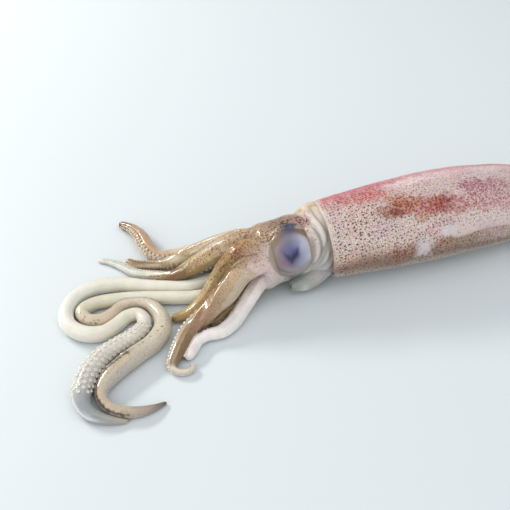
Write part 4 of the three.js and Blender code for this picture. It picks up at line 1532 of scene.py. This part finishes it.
for name, piece in tentacle_flesh.items():
    samples = samples_along(TENTACLES[name]["stops"], PAINT_PITCH)
    tree = line_tree(samples)
    near_spot, spots = spot_tree(samples, SPOT_ROWS[name])

    def tentacle_rule(point):
        sample = samples[tree.find(point)[1]]
        colour = tone(TENTACLE_TONES[name], sample.share)
        colour = [c * (1 + 0.06 * wobble(point, 5, 5.0)) for c in colour]
        degrees = math.degrees(angle_round(sample, point))
        colour = banded(colour, TENTACLE_BANDS[name], sample.share, degrees)
        _, index, distance = near_spot.find(point)
        spot = 1 - rise(0.55, 1.25, distance / spots[index][1])
        colour = mixed(colour, SPOT_COLOUR, 0.85 * spot)
        return colour, FRECKLES[name] * rise(0.45, 0.55, sample.share), FRECKLE_COLOUR, 0.0

    paint(piece, tentacle_rule)
print("painted the tentacles")

# %% Eye and funnel paint
# along and up from the eye's middle, half width, colour and strength of the soft lights in it:
# a pale one on the mantle's side, two rosy ones on the arms' side, and the blue grey lens.
EYE_LIGHTS = [
    (0.5, 0.16, 0.42, "#bcbcc6", 0.5), (-0.42, -0.42, 0.26, "#8a6272", 0.65),
    (-0.56, 0.12, 0.14, "#8a6a78", 0.6), (-0.12, -0.02, 0.34, "#585f86", 0.85)]


def eye_rule(point):
    """An iris with a paler ring, the soft lights, a dark stroke bent like a v with a deep spot
    in it, a rim, and the head's skin round it all."""
    way = point - EYE_AT
    along, up = way.x / EYE_UNIT, way.dot(BACK) / EYE_UNIT
    off = math.hypot(along + 0.06, (up + 0.12) * 1.05) * 1.1 + 0.04 * wobble(point, 6, 2.0)
    along += 0.07 * wobble(point, 4, 1.0)
    up += 0.07 * wobble(point, 4, 5.0)
    reach = math.hypot(along + 0.05, up + 0.08)
    # The ring darkens towards the arms: partly its own tone, partly a painted crescent of shade
    # along that edge.
    ring = mixed(linear("#87796f"), linear("#b3afb8"), rise(-0.5, 0.4, along))
    ring = mixed(ring, linear("#8c8788"), rise(0.3, 0.8, -up))
    iris = mixed(linear("#746e84"), linear("#8e90a8"), rise(-0.3, 0.5, along))
    colour = mixed(iris, ring, rise(0.42, 0.8, reach))
    for x, y, half, hue, share in EYE_LIGHTS:
        near = bump(0, half, math.hypot(along - x, up - y))
        colour = mixed(colour, linear(hue), share * near)
    edge = max(-0.4 - 1.15 * (along + 0.22), -0.4 + 1.15 * (along + 0.22))
    stroke = bump(0, 0.18, up - edge) * (1 - rise(0.15, 0.5, abs(along + 0.16)))
    colour = mixed(colour, linear("#1c2046"), 0.9 * stroke)
    deep = bump(0, 0.2, math.hypot(along + 0.12, (up + 0.28) * 0.8))
    colour = mixed(colour, linear("#1c2040"), 0.8 * deep)
    colour = mixed(colour, linear("#777689"), 0.7 * rise(0.45, 0.75, up))
    # The rim is olive, with a painted crescent of shade that makes it darker and stronger towards
    # the arms.
    rim = mixed(linear("#746858"), linear("#9c938f"), rise(-0.6, 0.4, along))
    colour = mixed(colour, rim, (0.55 + 0.3 * rise(0.2, -0.5, along)) * bump(0.95, 0.08, off))
    around_it = mixed(linear("#806c59"), linear("#8d8a8c"), rise(0.2, 0.8, -up))
    skin = rise(0.95, 1.04, off)
    colour = mixed(colour, around_it, skin)
    navy = bump(0, 0.36, math.hypot(along + 0.06, (up - 0.92) * 0.8))
    colour = mixed(colour, linear("#444860"), 0.9 * navy)
    return colour, 0.3 * skin, linear("#74503c"), 0.3 * skin


def funnel_rule(point):
    colour = mixed(linear("#8b8d88"), linear("#adaaa4"), rise(-99, -86, point.x))
    pale = bump(0, 2.6, (point - Vector((-96, -16.5, 6))).length)
    colour = mixed(colour, linear("#cbc6b8"), 0.85 * pale)
    return colour, 0.25, linear("#7c7266"), 0.0


for piece in eyes.values():
    paint(piece, eye_rule)
paint(funnel_flesh, funnel_rule)
print("painted the eyes and the funnel")

# %% Sucker paint
SUCKER_TONES = {
    "arm_right_1": ("#bfa88c", "#a58a6c"), "arm_right_2": ("#cbbda6", "#b59c80"),
    "tentacle_right": ("#dad5ca", "#cec6b9"), "arm_left_4": ("#e4dcd8", "#d2c4c0")}
USUAL_SUCKERS = ("#d8d0c2", "#c4b8a6")

for name, piece in suckers.items():
    pale, dull = (linear(c) for c in SUCKER_TONES.get(name, USUAL_SUCKERS))

    def sucker_rule(point):
        colour = mixed(pale, dull, 0.5 + 0.5 * wobble(point, 3, 2.0))
        return colour, 0.0, colour, 0.0

    paint(piece, sucker_rule)
print("painted the suckers of", len(suckers), "limbs")

# %% [markdown]
# ## Materials
#
# All of the flesh is one kind of thing: milky muscle under a clear wet skin. Light goes in a few
# millimetres and comes out again, so it glows softly at thin edges. The water on it gives sharp
# highlights. The materials differ in how their dots are laid out and in how wet they are.

# %% Dots and clouds
DOT_RANDOM = 0.78


def maths(tree, operation, first, second):
    """The result of an operation on two numbers, each a socket or a value."""
    node = add_node(tree, "ShaderNodeMath", {0: first, 1: second}, operation=operation)
    return node.outputs[0]


def vector_maths(tree, operation, first, second):
    """The same for two vectors or colours."""
    node = add_node(tree, "ShaderNodeVectorMath", {0: first, 1: second}, operation=operation)
    return node.outputs[0]


def dot_mask(tree, vector, spacing, radius, flat, shift, kept):
    """Round dots about spacing mm apart, as 0 and 1, uneven in size. flat lays them out on the
    skin's map and not in space, and kept is the share of the places that carry one."""
    cells = add_node(
        tree, "ShaderNodeTexVoronoi",
        {"Vector": vector_maths(tree, "ADD", vector, (shift,) * 3), "Scale": 1 / spacing,
         "Randomness": DOT_RANDOM}, voronoi_dimensions="2D" if flat else "3D")
    chance = add_node(tree, "ShaderNodeSeparateColor", {"Color": cells.outputs["Color"]})
    wide = add_node(tree, "ShaderNodeMapRange", {
        "Value": chance.outputs[0],
        "To Min": radius * 0.6 / spacing, "To Max": radius * 1.2 / spacing})
    away = maths(tree, "DIVIDE", cells.outputs["Distance"], wide.outputs[0])
    spot = add_node(
        tree, "ShaderNodeMapRange",
        {"Value": away, "From Min": 1.3, "From Max": 0.7, "To Min": 0.0, "To Max": 1.0},
        interpolation_type="SMOOTHSTEP").outputs[0]
    return maths(tree, "MULTIPLY", spot, maths(tree, "LESS_THAN", chance.outputs[1], kept))


def laid_over(tree, colour, mask, alpha, strength, hue):
    """A colour with another over it where a mask and a painted alpha let it show."""
    share = maths(tree, "MULTIPLY", maths(tree, "MULTIPLY", mask, alpha), strength)
    inputs = {"Factor": share, 6: colour, 7: hue}
    return add_node(tree, "ShaderNodeMix", inputs, data_type="RGBA").outputs[2]


def mottled(tree, in_mm, colour, cloud):
    """A colour with soft cloudy changes of tint, from 3 mm down."""
    clouds = add_node(tree, "ShaderNodeTexNoise", {
        "Vector": in_mm, "Scale": 0.3, "Detail": 4.0, "Roughness": 0.65})
    shade = add_node(tree, "ShaderNodeMapRange", {
        6: clouds.outputs["Color"], 7: (0.3,) * 3, 8: (0.7,) * 3,
        9: (1 - 0.12 * cloud, 1 - 0.16 * cloud, 1 - 0.16 * cloud),
        10: (1 + 0.13 * cloud, 1 + 0.16 * cloud, 1 + 0.16 * cloud)}, data_type="FLOAT_VECTOR")
    return vector_maths(tree, "MULTIPLY", colour, shade.outputs[1])


print("dots stray from an even grid by a share of", DOT_RANDOM)

# %% Wet flesh
Skin = namedtuple("Skin", "name fine large grain flat cloud dot scatter depth coat rough")
GRAIN_BEND = 1.4
SAC_SHIFT, SAC_KEPT, SAC_STRENGTH = 31.7, 0.9, 0.85
FINE_SHIFT, FINE_KEPT, FINE_STRENGTH = 5.3, 1.0, 0.72
LARGE_SHIFT, LARGE_KEPT, LARGE_STRENGTH = 0.0, 0.85, 0.9
FINE_DARKNESS = 0.46
HEAD_COAT = 0.3
COAT_FROM_X = -112.0
COAT_TO_X = -124.0


def dotted(tree, dots_at, colour, skin):
    """A colour with three layers over it: ragged open sacs, fine dots and large dark dots."""
    tint = add_node(tree, "ShaderNodeAttribute", attribute_name="tint").outputs["Alpha"]
    pigment = add_node(tree, "ShaderNodeAttribute", attribute_name="pigment").outputs
    bent = add_node(tree, "ShaderNodeTexNoise", {"Vector": dots_at, "Scale": 1.1, "Detail": 1.0})
    bend = vector_maths(tree, "MULTIPLY", bent.outputs["Color"], (GRAIN_BEND,) * 3)
    bent_at = vector_maths(tree, "ADD", dots_at, bend)
    sacs = dot_mask(tree, bent_at, *skin.grain, skin.flat, SAC_SHIFT, SAC_KEPT)
    colour = laid_over(tree, colour, sacs, pigment["Alpha"], SAC_STRENGTH, pigment["Color"])
    fine = dot_mask(tree, dots_at, *skin.fine, skin.flat, FINE_SHIFT, FINE_KEPT)
    dark = vector_maths(tree, "MULTIPLY", pigment["Color"], (FINE_DARKNESS,) * 3)
    colour = laid_over(tree, colour, fine, tint, FINE_STRENGTH, dark)
    large = dot_mask(tree, dots_at, *skin.large, skin.flat, LARGE_SHIFT, LARGE_KEPT)
    return laid_over(tree, colour, large, tint, LARGE_STRENGTH, linear(skin.dot))


def wet_flesh(skin):
    """A wet, translucent flesh. Its film of water is thinner on the head than on the arms."""
    material, tree, output = new_material(skin.name)
    place = add_node(tree, "ShaderNodeTexCoord").outputs["Object"]
    in_mm = vector_maths(tree, "MULTIPLY", place, (1 / MM,) * 3)
    dots_at = in_mm
    if skin.flat:
        dots_at = add_node(tree, "ShaderNodeUVMap", uv_map="skin_mm").outputs[0]
    tint = add_node(tree, "ShaderNodeAttribute", attribute_name="tint").outputs["Color"]
    colour = dotted(tree, dots_at, mottled(tree, in_mm, tint, skin.cloud), skin)
    grain = add_node(tree, "ShaderNodeTexNoise", {"Vector": in_mm, "Scale": 0.7, "Detail": 3.0})
    relief = add_node(tree, "ShaderNodeBump", {
        "Height": grain.outputs[0], "Strength": 0.35, "Distance": 0.3 * MM})
    axes = add_node(tree, "ShaderNodeSeparateXYZ", {"Vector": in_mm})
    coat = add_node(tree, "ShaderNodeMapRange", {
        "Value": axes.outputs["X"], "From Min": COAT_FROM_X, "From Max": COAT_TO_X,
        "To Min": min(skin.coat, HEAD_COAT), "To Max": skin.coat})
    surface = add_node(tree, "ShaderNodeBsdfPrincipled", {
        "Base Color": colour, "Roughness": skin.rough, "Normal": relief.outputs[0],
        "Subsurface Weight": skin.scatter, "Subsurface Radius": (1.0, 0.7, 0.55),
        "Subsurface Scale": skin.depth * MM, "Coat Weight": coat.outputs[0],
        "Coat Roughness": 0.07, "Coat IOR": 1.5, "IOR": 1.36, "Specular IOR Level": 0.35})
    tree.links.new(surface.outputs[0], output.inputs[0])
    return material


print("a skin is set by", len(Skin._fields), "values")

# %% Skins
# fine, large and grain hold each layer's spacing and radius in mm, and depth is in mm too.
SKINS = {
    "mantle": Skin(
        "raw_squid_mantle_skin", fine=(0.95, 0.28), large=(1.95, 0.43), grain=(1.4, 0.64),
        flat=True, cloud=0.7, dot="#2e2020", scatter=0.15, depth=1.2, coat=0.15, rough=0.45),
    "fin": Skin(
        "raw_squid_fin_skin", fine=(0.95, 0.28), large=(2.0, 0.4), grain=(1.4, 0.64),
        flat=True, cloud=0.6, dot="#3c282a", scatter=0.25, depth=1.5, coat=0.15, rough=0.45),
    "head": Skin(
        "raw_squid_head_and_arm_skin", fine=(0.95, 0.36), large=(1.7, 0.48), grain=(1.5, 0.7),
        flat=False, cloud=0.35, dot="#602e12", scatter=0.2, depth=1.5, coat=0.85, rough=0.32),
    "tentacle": Skin(
        "raw_squid_tentacle_muscle", fine=(0.9, 0.34), large=(2.4, 0.4), grain=(1.5, 0.5),
        flat=False, cloud=0.3, dot="#4a3424", scatter=0.4, depth=3.0, coat=1.0, rough=0.3),
    "sucker": Skin(
        "raw_squid_sucker_rings", fine=(1.5, 0.3), large=(1.5, 0.5), grain=(1.5, 0.5),
        flat=False, cloud=0.2, dot="#4a3424", scatter=0.4, depth=2.0, coat=0.5, rough=0.45),
    "eye": Skin(
        "raw_squid_eye_under_clear_skin", fine=(0.85, 0.36), large=(1.5, 0.52), grain=(1.5, 0.5),
        flat=False, cloud=0.3, dot="#2e1a0e", scatter=0.1, depth=1.0, coat=0.8, rough=0.35),
    "funnel": Skin(
        "raw_squid_funnel_muscle", fine=(1.2, 0.3), large=(2.0, 0.4), grain=(1.5, 0.5),
        flat=False, cloud=1.0, dot="#5a4a40", scatter=0.4, depth=2.5, coat=0.7, rough=0.35),
}
WEARERS = {
    "mantle": [mantle_flesh], "fin": fin_flesh.values(), "head": [head_skin],
    "tentacle": tentacle_flesh.values(), "sucker": suckers.values(), "eye": eyes.values(),
    "funnel": [funnel_flesh],
}
for kind, skin in SKINS.items():
    flesh = wet_flesh(skin)
    for piece in WEARERS[kind]:
        piece.data.materials.append(flesh)
print("flesh materials:", [skin.name for skin in SKINS.values()])

# %% [markdown]
# ## Handing the pieces over
#
# Every new piece rides on the squid's one body and stands for the solids that it covers, which are
# hidden.

# %% Ride and replace
stands_for = [
    (mantle_flesh, ["mantle"], "mantle_skin"),
    (fin_flesh["left"], ["fin_left"], "fin_skin"),
    (fin_flesh["right"], ["fin_right"], "fin_skin"),
    (head_skin, ["head"] + list(ARMS), "arm_flesh"),
    (tentacle_flesh["tentacle_right"], ["tentacle_right"], "tentacle_flesh"),
    (tentacle_flesh["tentacle_left"], ["tentacle_left"], "tentacle_flesh"),
    (eyes[1], ["eye_left"], "eye"),
    (eyes[-1], ["eye_right"], "eye"),
    (funnel_flesh, ["funnel"], "funnel_flesh"),
]
for name, piece in suckers.items():
    slot = "tentacle_flesh" if name in TENTACLES else "arm_flesh"
    stands_for.append((piece, [name], slot))
for piece, nodes, slot in stands_for:
    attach(piece, "root")
    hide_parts(*nodes)
